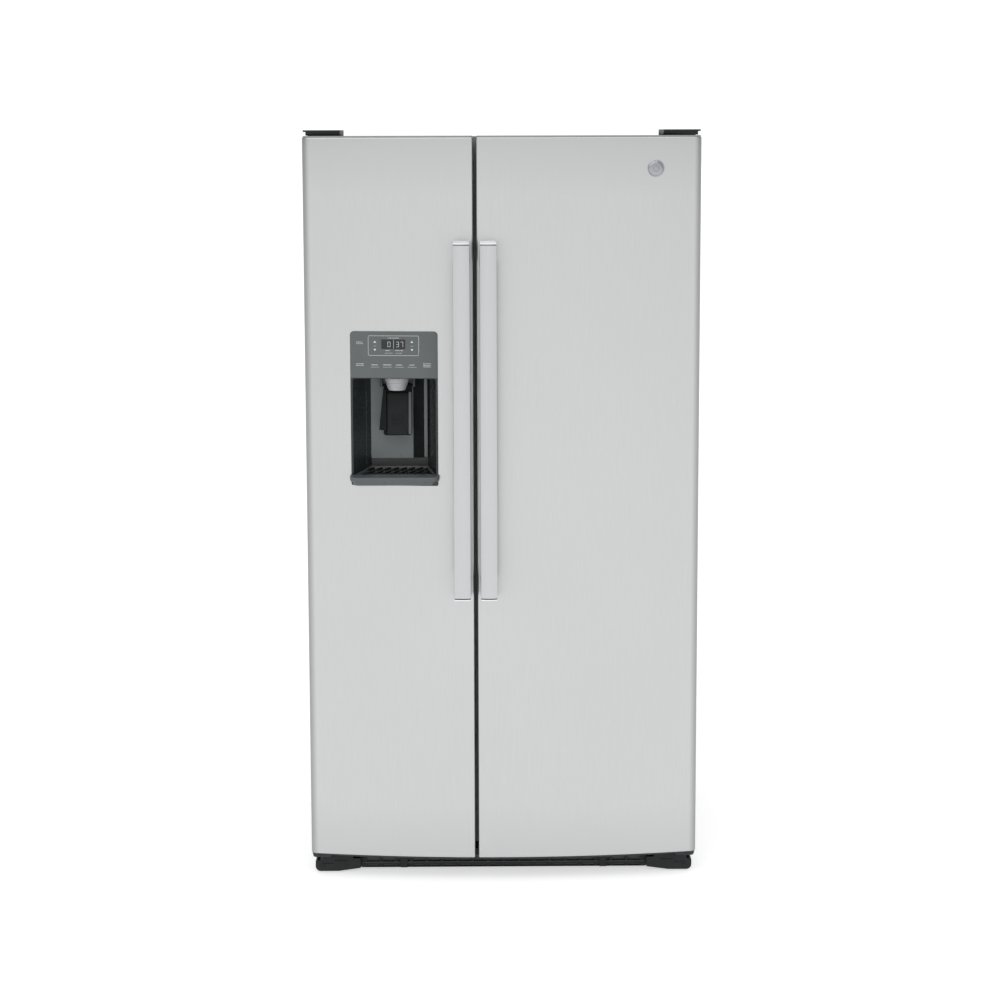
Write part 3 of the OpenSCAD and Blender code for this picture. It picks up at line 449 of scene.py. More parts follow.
skins = {"freezer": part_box("freezer_door_skin"), "fresh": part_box("fresh_door_skin")}
door_x = skins["fresh"][1].x
door_front = skins["fresh"][0].y
door_back = skins["fresh"][1].y
BOW = 0.040
bow_r = (door_x ** 2 + BOW ** 2) / (2 * BOW)


def front_y(x, proud=0.0):
    """The doors' outer face at x, moved forward by proud."""
    return door_front + bow_r - math.sqrt((bow_r + proud) ** 2 - x ** 2)


def curved(points, proud):
    """Places a flat outline of (x, z) on the doors' outer face."""
    return [(x, front_y(x, proud), z) for x, z in points]


def fascia(shape, outline, back, proud, lip=0.0):
    """A plate that follows the bow; its front edge is rounded by lip."""
    middle = (min(p[0] for p in outline) + max(p[0] for p in outline)) / 2
    centre = (min(p[1] for p in outline) + max(p[1] for p in outline)) / 2
    rings = [[(x, -back, z) for x, z in outline]]
    for k in range(4):
        a = math.radians(30 * k)
        pull = lip * (1 - math.cos(a)) + (1e-5 if lip else 0) * k
        rings.append([(x - math.copysign(min(pull, abs(x - middle)), x - middle),
                       lip * (1 - math.sin(a)) - proud,
                       z - math.copysign(min(pull, abs(z - centre)), z - centre)) for x, z in outline])
        if not lip:
            break
    plate = Shape().loft(rings)
    edges = [p[0] for p in outline]
    for x in spaced(min(edges), max(edges), max(3, round((max(edges) - min(edges)) / 0.01)))[1:-1]:
        everything = plate.bm.verts[:] + plate.bm.edges[:] + plate.bm.faces[:]
        bmesh.ops.bisect_plane(plate.bm, geom=everything, dist=1e-6, plane_co=(x, 0, 0), plane_no=(1, 0, 0))
    plate.bend(lambda x, y, z: (x, front_y(x) + y, z))
    mesh = bpy.data.meshes.new("plate")
    plate.bm.to_mesh(mesh)
    plate.bm.free()
    shape.bm.from_mesh(mesh)
    bpy.data.meshes.remove(mesh)
    return shape


def densify(outline, step=0.008):
    """Adds points to an outline's long sides, so that it can be bent."""
    out = []
    for a, b in zip(outline, outline[1:] + outline[:1]):
        n = max(1, round(math.dist(a, b) / step))
        out += [(a[0] + (b[0] - a[0]) * i / n, a[1] + (b[1] - a[1]) * i / n) for i in range(n)]
    return out


# ---------- Door skins ----------

panel_low, panel_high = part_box("control_panel")
tray_low, tray_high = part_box("drip_tray")
house_low, house_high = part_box("dispenser_housing")
OUTER_R, SEAM_R, HEM = 0.014, 0.0035, 0.0025
SHEET = 0.001
SNAP = 0.0047


def door_profile(x0, x1, r0, r1, inset):
    """The plan of a skin from one back edge round the front to the other, as (x, y)."""
    path = [(x0 + inset, door_back)]
    y0, y1 = front_y(x0 + r0, -inset), front_y(x1 - r1, -inset)
    path += [(x, y) for x, y in corner(x0 + r0, y0 + r0 - inset, r0 - inset, 180, 8)][:-1]
    path += [(x, front_y(x, -inset)) for x in spaced(x0 + r0, x1 - r1, 40)]
    path += [(x, y) for x, y in corner(x1 - r1, y1 + r1 - inset, r1 - inset, 270, 8)][1:]
    return path + [(x1 - inset, door_back)]


def door_skin(name, side, r0, r1, hole=None):
    """Sheet steel with its sides turned back and its upper and lower edges hemmed."""
    low, high = skins[side]
    shape = Shape()
    levels = [low.z + HEM * (1 - math.cos(math.radians(a))) for a in (0, 30, 60, 90)]
    insets = [HEM * (1 - math.sin(math.radians(a))) for a in (0, 30, 60, 90)]
    inner = [low.z + 0.02, *(hole[2:] if hole else ()), high.z - 0.02]
    stops = list(zip(levels, insets)) + [(z, 0.0) for z in inner]
    stops += [(low.z + high.z - z, i) for z, i in zip(levels[::-1], insets[::-1])]
    rows = []
    for z, inset in stops:
        path = door_profile(low.x, high.x, r0, r1, inset)
        if hole:
            # Points of the face that lie near the hole's sides move onto them
            near = [min(hole[:2], key=lambda h: abs(h - x)) for x, _ in path]
            path = [(h, front_y(h, -inset)) if abs(h - x) < SNAP and y < door_back - 0.02 else (x, y)
                    for h, (x, y) in zip(near, path)]
        rows.append([shape.bm.verts.new((x, y, z)) for x, y in path])
    for a, b in zip(rows, rows[1:]):
        for i in range(len(a) - 1):
            mid_x = (a[i].co.x + a[i + 1].co.x) / 2
            mid_z = (a[i].co.z + b[i].co.z) / 2
            front = a[i].co.y < door_back - 0.02 and a[i + 1].co.y < door_back - 0.02
            if hole and front and hole[0] < mid_x < hole[1] and hole[2] < mid_z < hole[3]:
                continue
            shape.bm.faces.new((a[i], a[i + 1], b[i + 1], b[i]))
    for edge in shape.bm.edges:
        edge.smooth = not edge.is_boundary
    obj = shape.piece(name, side + "_door", "stainless", angle=60)
    mod = obj.modifiers.new("sheet", "SOLIDIFY")
    mod.thickness = SHEET
    front = max(obj.data.polygons, key=lambda p: p.area)
    mod.offset = -1 if front.normal.y < 0 else 1
    mod = obj.modifiers.new("normals", "WEIGHTED_NORMAL")
    mod.keep_sharp = True
    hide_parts(side + "_door_skin")


hole = (house_low.x + 0.004, house_high.x - 0.004, house_low.z + 0.004, panel_high.z - 0.004)
door_skin("freezer_door_panel", "freezer", OUTER_R, SEAM_R, hole)
door_skin("fresh_door_panel", "fresh", SEAM_R, OUTER_R)


# ---------- Handles ----------

TOP_SLOPE = 0.003   # fall of the upper end plate towards the front
# The end plates are painted bright as a painted highlight, and the dark lines below them are painted shadow.
END_CAP = 0.0032    # thickness of the bright end plates
END_SHADOW = 0.0022   # dark line between an end plate and the bar
POST_SHARE = 0.55   # width of a post, of the bar's


def handle(side):
    """One bent bar: a crowned front, its ends turned back into broad posts."""
    low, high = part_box(side + "_handle")
    high.z -= 0.003
    body = side + "_door"
    bar, post, crown, bend = 0.014, 0.047, 0.004, 0.010
    middle = (low.x + high.x) / 2
    half = (high.x - low.x) / 2
    away = -1 if side == "freezer" else 1
    post_x = middle + away * half * (1 - POST_SHARE)
    rear = front_y(middle) - 0.0004
    front = low.y + crown
    inner = front + bar
    side_view = [(rear, low.z), (rear, low.z + post)]
    side_view += [(inner + bend, low.z + post)]
    side_view += [(inner + bend * (1 - math.sin(a)), low.z + post + bend * (1 - math.cos(a)))
                  for a in (math.radians(d) for d in (15, 30, 45, 60, 75, 90))]
    side_view += [(y, low.z + high.z - z) for y, z in side_view[::-1]]
    ends = END_CAP + END_SHADOW
    side_view = [(y, min(max(z, low.z + ends), high.z - ends)) for y, z in side_view]
    side_view += [(front, z) for z in spaced(high.z - ends, low.z + ends, 14)]
    shape = Shape().prism(side_view, 0, spaced(low.x, high.x, 13))

    def shaped(x, y, z):
        u = (x - middle) / half
        if z > high.z - post / 2:
            z -= TOP_SLOPE * max(0.0, rear - y) / (rear - low.y)
        if y < inner + 0.001:
            y -= crown * (1 - u * u) * (1 if y < front + 0.005 else 0.25)
        else:
            # The posts are narrower than the bar and stand on its side away from the seam
            thin = (1 - POST_SHARE) * min(1.0, (y - inner) / bend)
            x = middle + away * half * thin + (x - middle) * (1 - thin)
            if y > rear - 0.001:
                y = front_y(x) - 0.0003
        return x, y, z

    obj = shape.bend(shaped).piece(f"{side}_handle_bar", body, "handle_metal", bevel=0.0009, angle=50)
    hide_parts(side + "_handle")

    def plan(inset, deep):
        """The bar's outline from above, crowned in front; deep outlines reach back to the door."""
        xs = spaced(low.x + inset, high.x - inset, 13)
        return [(x, front + inset - crown * (1 - ((x - middle) / half) ** 2)) for x in xs] + [
            (x, front_y(x) - 0.0003 if deep else inner) for x in xs[::-1]]

    # End plates with a painted highlight, and dark lines between them and the bar as painted shadow
    caps, lines = Shape(), Shape()
    for end, way in ((high.z, -1), (low.z, 1)):
        for target, levels in ((caps, ((0.0, 0.0016), (0.0006, 0.0006), (0.0016, 0.0001), (END_CAP, 0.0))),
                               (lines, ((END_CAP - 0.0002, 0.0005), (ends + 0.0003, 0.0005)))):
            rings = []
            for drop, inset in levels:
                ring = [(x, y, end + way * drop) for x, y in plan(inset, target is caps)]
                if way < 0:
                    ring = [(x, y, z - TOP_SLOPE * max(0.0, rear - y) / (rear - low.y)) for x, y, z in ring]
                rings.append(ring)
            target.loft(rings)
    caps.piece(f"{side}_handle_ends", body, "handle_metal", extra["bar_end"], angle=50)
    lines.piece(f"{side}_handle_shadow_lines", body, "gasket_rubber")
    pad = Shape()
    for z in (low.z, high.z - post):
        reach = half * POST_SHARE + 0.0012
        outline = rounded(post_x - reach, post_x + reach, z - 0.0008, z + post + 0.0008, [0.003] * 4)
        fascia(pad, densify(outline), -0.0005, 0.0007)
    pad.piece(f"{side}_handle_pads", body, "handle_metal")


handle("freezer")
handle("fresh")


# ---------- Badge ----------

def badge():
    """A plain ringed disc, turned to the doors' bow."""
    low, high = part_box("badge")
    x, z = (low.x + high.x) / 2, (low.z + high.z) / 2
    radius = (high.z - low.z) / 2
    tilt = math.asin(x / bow_r)
    y = front_y(x)
    # Rings of (share of the radius, height): rim, groove, dish and a small raised lens
    rings = [(1.0, 0.0), (1.0, 0.0014), (0.965, 0.0021), (0.93, 0.0024), (0.89, 0.0021), (0.87, 0.0013),
             (0.85, 0.0012), (0.83, 0.0016), (0.6, 0.0021), (0.36, 0.0023), (0.34, 0.0018), (0.31, 0.0018),
             (0.29, 0.0023), (0.0005, 0.0026)]
    shape = Shape().lathe((0, 0, 0), 1, [(r * radius, -h) for r, h in rings], 64)
    turn = Matrix.Rotation(tilt, 4, "Z")

    def placed(px, py, pz):
        v = turn @ Vector((px, py, pz))
        return x + v.x, y + v.y - 0.0002, z + v.z

    obj = shape.bend(placed).piece("badge_disc", "fresh_door", "badge_metal", angle=40)
    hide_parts("badge")


badge()


# ---------- Dispenser ----------

BEZEL = 0.003   # how far the frame stands out of the door
MARK = 0.0016   # how far the print stands out of the frame
disp = (house_low.x + 0.0008, house_high.x - 0.0014, tray_low.z - 0.0115, panel_high.z + 0.0065)
panel_z = panel_low.z - 0.002
FRAME_R = 0.009
# The recess narrows from its mouth to its back: (left, right)
WALL_X = (house_low.x + 0.006, house_high.x - 0.006)
BACK_X = (house_low.x + 0.041, house_high.x - 0.024)
recess_y = tray_high.y + 0.0002
recess_z = (tray_low.z - 0.0005, panel_z - 0.001)


def dispenser_shell():
    """The black frame and the tapering recess, as one moulding with rounded inner corners."""
    shape = Shape()
    outer = densify(rounded(disp[0], disp[1], disp[2], disp[3], [0.004, 0.004, FRAME_R, FRAME_R]), 0.01)
    count = len(outer)
    cx = (WALL_X[0] + WALL_X[1]) / 2
    cz = (recess_z[0] + recess_z[1]) / 2

    def inner_ring(x0, x1, z0, z1, radius):
        """The opening's outline, with as many points as the outer one, matched by angle."""
        loop = densify(rounded(x0, x1, z0, z1, [radius] * 4), 0.002)
        ring = []
        for x, z in outer:
            a = math.atan2((z - (disp[2] + disp[3]) / 2) / (disp[3] - disp[2]),
                           (x - cx) / (disp[1] - disp[0]))
            ring.append(min(loop, key=lambda p: abs(math.remainder(
                math.atan2((p[1] - cz) / (z1 - z0), (p[0] - cx) / (x1 - x0)) - a, 2 * math.pi))))
        return ring

    def flat(points, y):
        return [(x, y, z) for x, z in points]

    mouth = inner_ring(*WALL_X, *recess_z, 0.006)
    front = [curved(outer, -0.004), curved(outer, BEZEL - 0.001)]
    shrink = [(x - math.copysign(0.001, x - cx), z - math.copysign(0.001, z - cz)) for x, z in outer]
    front.append(curved(shrink, BEZEL))
    front.append(curved(mouth, BEZEL))
    front.append([(x, y + 0.0015, z) for x, y, z in curved(mouth, BEZEL - 0.001)])
    front.append(flat(mouth, door_front + 0.02))
    rows = 6
    for k in range(1, rows + 1):
        t = k / rows
        x0 = WALL_X[0] + (BACK_X[0] - WALL_X[0]) * t
        x1 = WALL_X[1] + (BACK_X[1] - WALL_X[1]) * t
        radius = 0.006 + 0.008 * t
        depth = door_front + 0.02 + (recess_y - 0.006 - door_front - 0.02) * t
        front.append(flat(inner_ring(x0, x1, *recess_z, radius), depth))
    end = inner_ring(BACK_X[0] + 0.003, BACK_X[1] - 0.003, recess_z[0] + 0.003, recess_z[1] - 0.003, 0.01)
    front.append(flat(end, recess_y - 0.0006))
    rows = [[shape.bm.verts.new(p) for p in ring] for ring in front]
    for a, b in zip(rows, rows[1:]):
        for i in range(count):
            j = (i + 1) % count
            shape.bm.faces.new((a[i], a[j], b[j], b[i]))
    shape.bm.faces.new(rows[-1])
    obj = shape.piece("dispenser_shell", "freezer_door", "dispenser_plastic", angle=40)
    mod = obj.modifiers.new("normals", "WEIGHTED_NORMAL")
    mod.weight = 100
    mod.keep_sharp = True
    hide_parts("dispenser_housing")


dispenser_shell()


def control_fascia():
    """The slate control panel over the top of the dispenser, with a dark shadow line round it."""
    outline = densify(rounded(disp[0] + 0.0004, disp[1] - 0.0004, panel_z, disp[3] - 0.0004,
                              [0.0015, 0.0015, FRAME_R, FRAME_R]), 0.012)
    obj = fascia(Shape(), outline, 0.001, BEZEL + 0.0012, 0.0012).piece(
        "control_fascia", "freezer_door", "panel_plastic", angle=40)
    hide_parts("control_panel")


control_fascia()


def chute():
    """The duct behind the control panel that the ice falls through, and the lugs that carry the paddle."""
    low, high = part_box("ice_chute_flap")
    wall = 0.002
    top = house_high.z
    x0, x1 = low.x - 0.001, high.x + 0.001
    y0, y1 = low.y - 0.003, high.y + 0.004
    shape = Shape()
    for a, b in (((x0 - wall, y0 - wall), (x0, y1 + wall)), ((x1, y0 - wall), (x1 + wall, y1 + wall)),
                 ((x0 - wall, y0 - wall), (x1 + wall, y0))):
        shape.block((*a, panel_z), (*b, top))
    shape.block((x0 - wall, y1, panel_z), (x1 + wall, y1 + wall, top - 0.043))
    shape.block((x0 - wall, y1, top - 0.005), (x1 + wall, y1 + wall, top))
    shape.block((x0 - wall, y0 - wall, top - wall), (x1 + wall, y1 + wall, top))
    low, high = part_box("dispenser_paddle")
    for x in (low.x - 0.0025, high.x - 0.0035):
        shape.block((x, high.y - 0.011, high.z - 0.008), (x + 0.006, high.y + 0.003, panel_z), 0.0012)
    shape.piece("dispenser_chute", "freezer_door", "dispenser_plastic")


chute()


def recess_lining():
    """The grey splash panel at the back, its darker side facet in painted shade, and the bright rib beside it with
    a painted highlight.
    """
    z0, z1 = recess_z[0] + 0.039, panel_z - 0.002
    back = recess_y - 0.0006
    left, fold, right = BACK_X[0] + 0.001, BACK_X[0] + 0.101, BACK_X[1] - 0.009
    panel = Shape()
    outline = rounded(left, fold, z0, z1, [0.006, 0.001, 0.001, 0.006])
    panel.prism(outline, 1, [back - 0.0012, back + 0.002])
    panel.piece("splash_panel", "freezer_door", "dispenser_plastic", extra["recess_grey"], bevel=0.0012)
    # The side facet's near black is painted shadow and reflection of the paddle.
    facet = Shape().prism(rounded(fold + 0.0005, right, z0 + 0.001, z1, [0.001, 0.006, 0.006, 0.001]),
                          1, [back - 0.0008, back + 0.002])
    facet.piece("splash_side", "freezer_door", "dispenser_plastic", extra["recess_shade"], bevel=0.0010)
    # The bright rib's light grey is a painted highlight.
    rib = Shape()
    path = [(right + 0.0015, back - 0.004, z) for z in spaced(z0 + 0.004, z1, 12)]
    rings = []
    for x, y, z in path:
        rings.append([(x + px, y + py, z)
                      for px, py in rounded(-0.0042, 0.0042, -0.002, 0.004, [0.0015] * 4, 3)])
    rib.loft(rings).piece("splash_rib", "freezer_door", "dispenser_plastic", extra["recess_grey"])
    # A thin rib down the left wall, its lighter grey a painted highlight
    left_rib = Shape()
    rings = []
    for z in spaced(z0 - 0.01, z1, 12):
        rings.append([(BACK_X[0] - 0.0085 + px, back - 0.022 + py, z)
                      for px, py in rounded(-0.0013, 0.0013, -0.0012, 0.006, [0.0008] * 4, 3)])
    left_rib.loft(rings).piece("left_rib", "freezer_door", "dispenser_plastic", extra["recess_edge"])


recess_lining()


def spout():
    """The silver shroud round the ice chute's mouth, with rings pressed into it."""
    low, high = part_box("dispenser_nozzle")
    x = (low.x + high.x) / 2 + 0.005
    y = low.y + 0.022
    top, base = panel_z + 0.001, low.z
    tall = top - base
    profile = [(0.0185, tall), (0.0275, tall), (0.0268, tall * 0.82)]
    # Three pressed rings on the way down
    for share in (0.80, 0.54, 0.28):
        radius = 0.0184 + 0.0092 * share
        profile += [(radius + 0.0004, tall * share), (radius, tall * (share - 0.01)),
                    (radius, tall * (share - 0.04)), (radius + 0.0003, tall * (share - 0.05))]
    profile += [(0.0188, tall * 0.08), (0.0176, 0.0), (0.0168, 0.0), (0.0160, 0.002), (0.0160, tall * 0.9)]
    shape = Shape().lathe((x, y, base), 2, profile, 48)
    # The sides are drawn out a little across, as an oval
    shape.bend(lambda px, py, pz: (x + (px - x) * 1.08, y + (py - y) * 0.95, pz))
    obj = shape.piece("spout_shroud", "freezer_door", "spout_metal", angle=25)
    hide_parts("dispenser_nozzle")
    ring = [(0.030, 0.004), (0.031, 0.003), (0.031, 0.0), (0.026, -0.0015), (0.0245, -0.001),
            (0.0245, 0.004)]
    collar = Shape().lathe((x, y, top - 0.004), 2, ring, 48)
    collar.piece("spout_collar", "freezer_door", "dispenser_plastic", extra["recess_shade"])


spout()


def paddle():
    """A grey fork with a soft black pad, hung on its pin and leaning forward."""
    low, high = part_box("dispenser_paddle")
    pin = [j for j in frame["joints"] if j["name"] == "paddle_hinge"][0]["pos_m"]
    lean = Matrix.Rotation(math.radians(-10), 4, "X")
    half = (high.x - low.x) / 2 - 0.0055
    length = (high.z - low.z) - 0.004

    def hung(px, py, pz):
        v = lean @ Vector((px, py, pz))
        return pin[0] + v.x, pin[1] + v.y, pin[2] + v.z

    fork = Shape()
    fork.lathe((0, 0, 0), 0, [(0.003, -half - 0.0055), (0.003, half + 0.0055)], 20)
    plate = rounded(-half, half, -length, 0.004, [0.006, 0.006, 0.003, 0.003])
    fork.prism(plate, 1, [-0.001, 0.002])
    # The left arm flares outwards on its way down; the right arm is a separate strip, lighter as a painted
    # highlight
    fork.prism([(-half - 0.0005, -0.010), (-half + 0.0065, -0.010), (-half + 0.0075, -length + 0.010),
                (-half - 0.0100, -length + 0.013)], 1, [-0.012, 0.001])
    fork.prism(rounded(-half + 0.006, half - 0.002, -length, -length + 0.004, [0.0015] * 4),
               1, [-0.0045, -0.001])
    fork.bend(hung)
    obj = fork.piece("paddle_fork", "dispenser_paddle", "paddle_plastic",
                     extra["recess_shade"], bevel=0.0011, angle=35)
    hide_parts("dispenser_paddle")
    x0, x1, foot = half - 0.0082, half - 0.0012, -length + 0.002
    strip = Shape().prism([(x0, -0.016), (x1, -0.016), (x1, foot), (x0, foot)], 1, [-0.0062, -0.0008])
    strip.bend(hung).piece("paddle_strip", "dispenser_paddle", "paddle_plastic",
                           extra["recess_edge"], bevel=0.0008)
    pad = Shape()
    rings = []
    for depth, inset in ((-0.001, 0.0), (-0.0062, 0.0), (-0.0078, 0.0009), (-0.0085, 0.0030),
                         (-0.0076, 0.012)):
        rings.append([(x, depth, z) for x, z in rounded(-half + 0.0085 + inset, half - 0.0085 - inset,
                                                        -length + 0.0010 + inset, -0.018 - inset,
                                                        [0.004] * 4)])
    pad.loft(rings)
    for k in range(5):
        z = -0.072 - 0.0055 * k
        pad.block((-half + 0.018, -0.0090, z), (half - 0.018, -0.0070, z + 0.0018), 0.0006, 2)
    pad.bend(hung).piece("paddle_pad", "dispenser_paddle", "paddle_plastic", extra["pad_black"], angle=40)


paddle()


def tray():
    """A shelf with a rolled lip, and a black grille of slanting bars over the cup."""
    low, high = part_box("drip_tray")
    lip_back = door_front + 0.012
    x0, x1 = low.x - 0.0014, high.x + 0.0014
    shape = Shape()
    half = (x1 - x0) / 2
    cx = (x0 + x1) / 2
    z0, z1 = low.z, low.z + 0.0105

    def upturned(px, py, pz):
        """Lifts the ends of the lip's upper edge."""
        far = max(0.0, abs(px - cx) / half - 0.86) / 0.14
        return px, py, pz + 0.0062 * far ** 2 * max(0.0, (pz - z0) / (z1 - z0))

    def edge(inset, z):
        front = low.y + 0.004
        pts = []
        for px, py in corner(x0 + 0.012 + inset, front + 0.014 + inset, 0.012, 180, 8):
            pts.append((px, py, z))
        for px, py in corner(x1 - 0.012 - inset, front + 0.014 + inset, 0.012, 270, 8):
            pts.append((px, py, z))
        pts = [(px, py - 0.0035 * (1 - ((px - cx) / half) ** 2), pz) for px, py, pz in pts]
        pts.append((x1 - inset, lip_back, z))
        pts.append((x0 + inset, lip_back, z))
        return pts

    shape.loft([edge(0.0022, z0), edge(0.0006, z0 + 0.0016), edge(0.0, z0 + 0.004), edge(0.0, z1 - 0.003),
                edge(0.0010, z1 - 0.0008), edge(0.0030, z1)])
    shape.bend(upturned).piece("tray_lip", "drip_tray", "tray_plastic", angle=50)
    # The chamfered strip below the lip
    strip = Shape().loft([edge(0.006 + inset, z0 - drop) for inset, drop in
                          ((0.0040, 0.0108), (0.0016, 0.0098), (0.0, 0.0015), (0.0, 0.0002))])
    strip.bend(lambda x, y, z: (x, y + 0.0055 + (z0 - z) * 0.25, z))
    strip.piece("tray_sill", "freezer_door", "dispenser_plastic", extra["tray_sill"], angle=40)

    cup = Shape()
    rise = (high.z - 0.002 - (z1 + 0.001)) / (high.y - door_front)

    def deck_z(y):
        return z1 - 0.0012 + max(0.0, y - door_front) * rise

    def span(y, inset):
        t = min(max((y - door_front - 0.02) / (high.y - door_front - 0.02), 0), 1)
        return (WALL_X[0] + 0.0015 + (BACK_X[0] - WALL_X[0]) * t + inset,
                WALL_X[1] - 0.0015 + (BACK_X[1] - WALL_X[1]) * t - inset)

    def side_strips(shape, near, far, bottom, above, radii):
        """A strip along each side, from bottom(y) to above the deck."""
        for side in (0, 1):
            rings = []
            for y in spaced(door_front + 0.008, high.y - 0.001, 12):
                a, b = sorted((span(y, near)[side], span(y, far)[side]))
                outline = rounded(a, b, bottom(y), deck_z(y) + above, radii, 3)
                rings.append([(px, y, pz) for px, pz in outline])
            shape.loft(rings)

    side_strips(cup, 0.0, 0.0055, lambda y: z0 + 0.0005, 0.0, (0.0003, 0.0003, 0.0015, 0.0015))
    rim = Shape()
    for y, depth in ((high.y - 0.0065, 0.0045), (door_front + 0.0055, 0.0035)):
        a, b = span(y + depth, 0.0015)
        rim.block((a, y, deck_z(y) - 0.001), (b, y + depth, deck_z(y) + 0.0018), 0.0008, 2)
    side_strips(rim, 0.0008, 0.0040, lambda y: deck_z(y) - 0.001, 0.0018, [0.0008] * 4)
    rim.piece("tray_rim", "drip_tray", "tray_plastic", angle=40)
    for y, depth in ((high.y - 0.0075, 0.0065), (door_front + 0.008, 0.006)):
        a, b = span(y + depth, 0.004)
        cup.block((a, y, z0 + 0.0005), (b, y + depth, deck_z(y + depth / 2)), 0.0012)
    a, b = span(high.y - 0.004, 0.003)
    c, d = span(door_front + 0.02, 0.004)
    cup.prism([(c, door_front + 0.01), (d, door_front + 0.01), (b, high.y - 0.004), (a, high.y - 0.004)],
              2, [z0 + 0.0005, z0 + 0.003])
    obj = cup.piece("tray_cup", "drip_tray", "tray_plastic", bevel=0.0006, segments=2)
    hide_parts("drip_tray")

    bars = Shape()
    count = 11
    y0, y1 = door_front + 0.013, high.y - 0.006
    slant = 0.052
    for k in range(-2, count):
        start = span(y0, 0.004)[0] + k * 0.0188
        rings = []
        for y in spaced(y0, y1, 10):
            x = start + slant * (y - y0) / (y1 - y0)
            a, b = span(y, 0.004)
            x_low, x_high = min(max(x, a), b), min(max(x + 0.0078, a), b)
            if x_high - x_low < 0.0012:
                continue
            outline = rounded(x_low, x_high, deck_z(y) - 0.006, deck_z(y) - 0.0006, [0.0005] * 4, 2)
            rings.append([(px, y, pz) for px, pz in outline])
        if len(rings) > 2:
            bars.loft(rings)
    for share in (0.36, 0.68):
        y = y0 + (y1 - y0) * share
        a, b = span(y, 0.004)
        bars.block((a, y - 0.002, deck_z(y) - 0.008), (b, y + 0.002, deck_z(y) - 0.0025), 0.0006, 2)
    bars.piece("tray_bars", "drip_tray", "tray_plastic", extra["grille_black"])


tray()


# ---------- Marks on the control panel ----------

def mark(shape, outline):
    """A thin printed shape of (x, z) points on the control panel's face."""
    rings = [curved(outline, BEZEL + 0.0006), curved(outline, BEZEL + MARK)]
    shape.loft(rings)


def bar_mark(shape, x0, x1, z0, z1):
    mark(shape, [(x0, z0), (x1, z0), (x1, z1), (x0, z1)])


def label(shape, x, z, width, rows=1, line=0.0017):
    """A word's place, as a row of short strokes that spell nothing."""
    for row in range(rows):
        at = x - width / 2
        while at < x + width / 2 - 0.0008:
            stroke = min(rng.uniform(0.0009, 0.0019), x + width / 2 - at)
            tall = line * rng.choice((0.62, 0.62, 0.85))
            bar_mark(shape, at, at + stroke, z - row * 0.0036, z - row * 0.0036 + tall)
            at += stroke + 0.0006


def densify_pair(outer, inner, step=0.008):
    """Splits matching sides of two outlines alike."""
    a_out, b_out = [], []
    for i in range(len(outer)):
        j = (i + 1) % len(outer)
        n = max(1, round(math.dist(outer[i], outer[j]) / step))
        for k in range(n):
            t = k / n
            a_out.append(tuple(p + (q - p) * t for p, q in zip(outer[i], outer[j])))
            b_out.append(tuple(p + (q - p) * t for p, q in zip(inner[i], inner[j])))
    return a_out, b_out


def ring_mark(shape, x0, x1, z0, z1, radius, width):
    outer, inner = densify_pair(
        rounded(x0, x1, z0, z1, [radius] * 4, 5),
        rounded(x0 + width, x1 - width, z0 + width, z1 - width, [radius - width] * 4, 5))
    low, high = BEZEL + 0.0006, BEZEL + MARK
    around = ((outer, low), (outer, high), (inner, high), (inner, low), (outer, low))
    shape.loft([curved(outline, proud) for outline, proud in around], caps=False)


# The bars that are lit in each digit
SEGMENTS = {"0": "abcdef", "3": "abcdg", "7": "abc"}


def digit(shape, text, x, z, w, h, t):
    """One digit of seven bars, lower left corner at (x, z)."""
    place = {"a": (0, h - t, w, h), "b": (w - t, h / 2, w, h), "c": (w - t, 0, w, h / 2), "d": (0, 0, w, t),
             "e": (0, 0, t, h / 2), "f": (0, h / 2, t, h), "g": (0, h / 2 - t / 2, w, h / 2 + t / 2)}
    for name in SEGMENTS[text]:
        x0, z0, x1, z1 = place[name]
        bar_mark(shape, x + x0 + 0.0002, x + x1 - 0.0002, z + z0 + 0.0002, z + z1 - 0.0002)


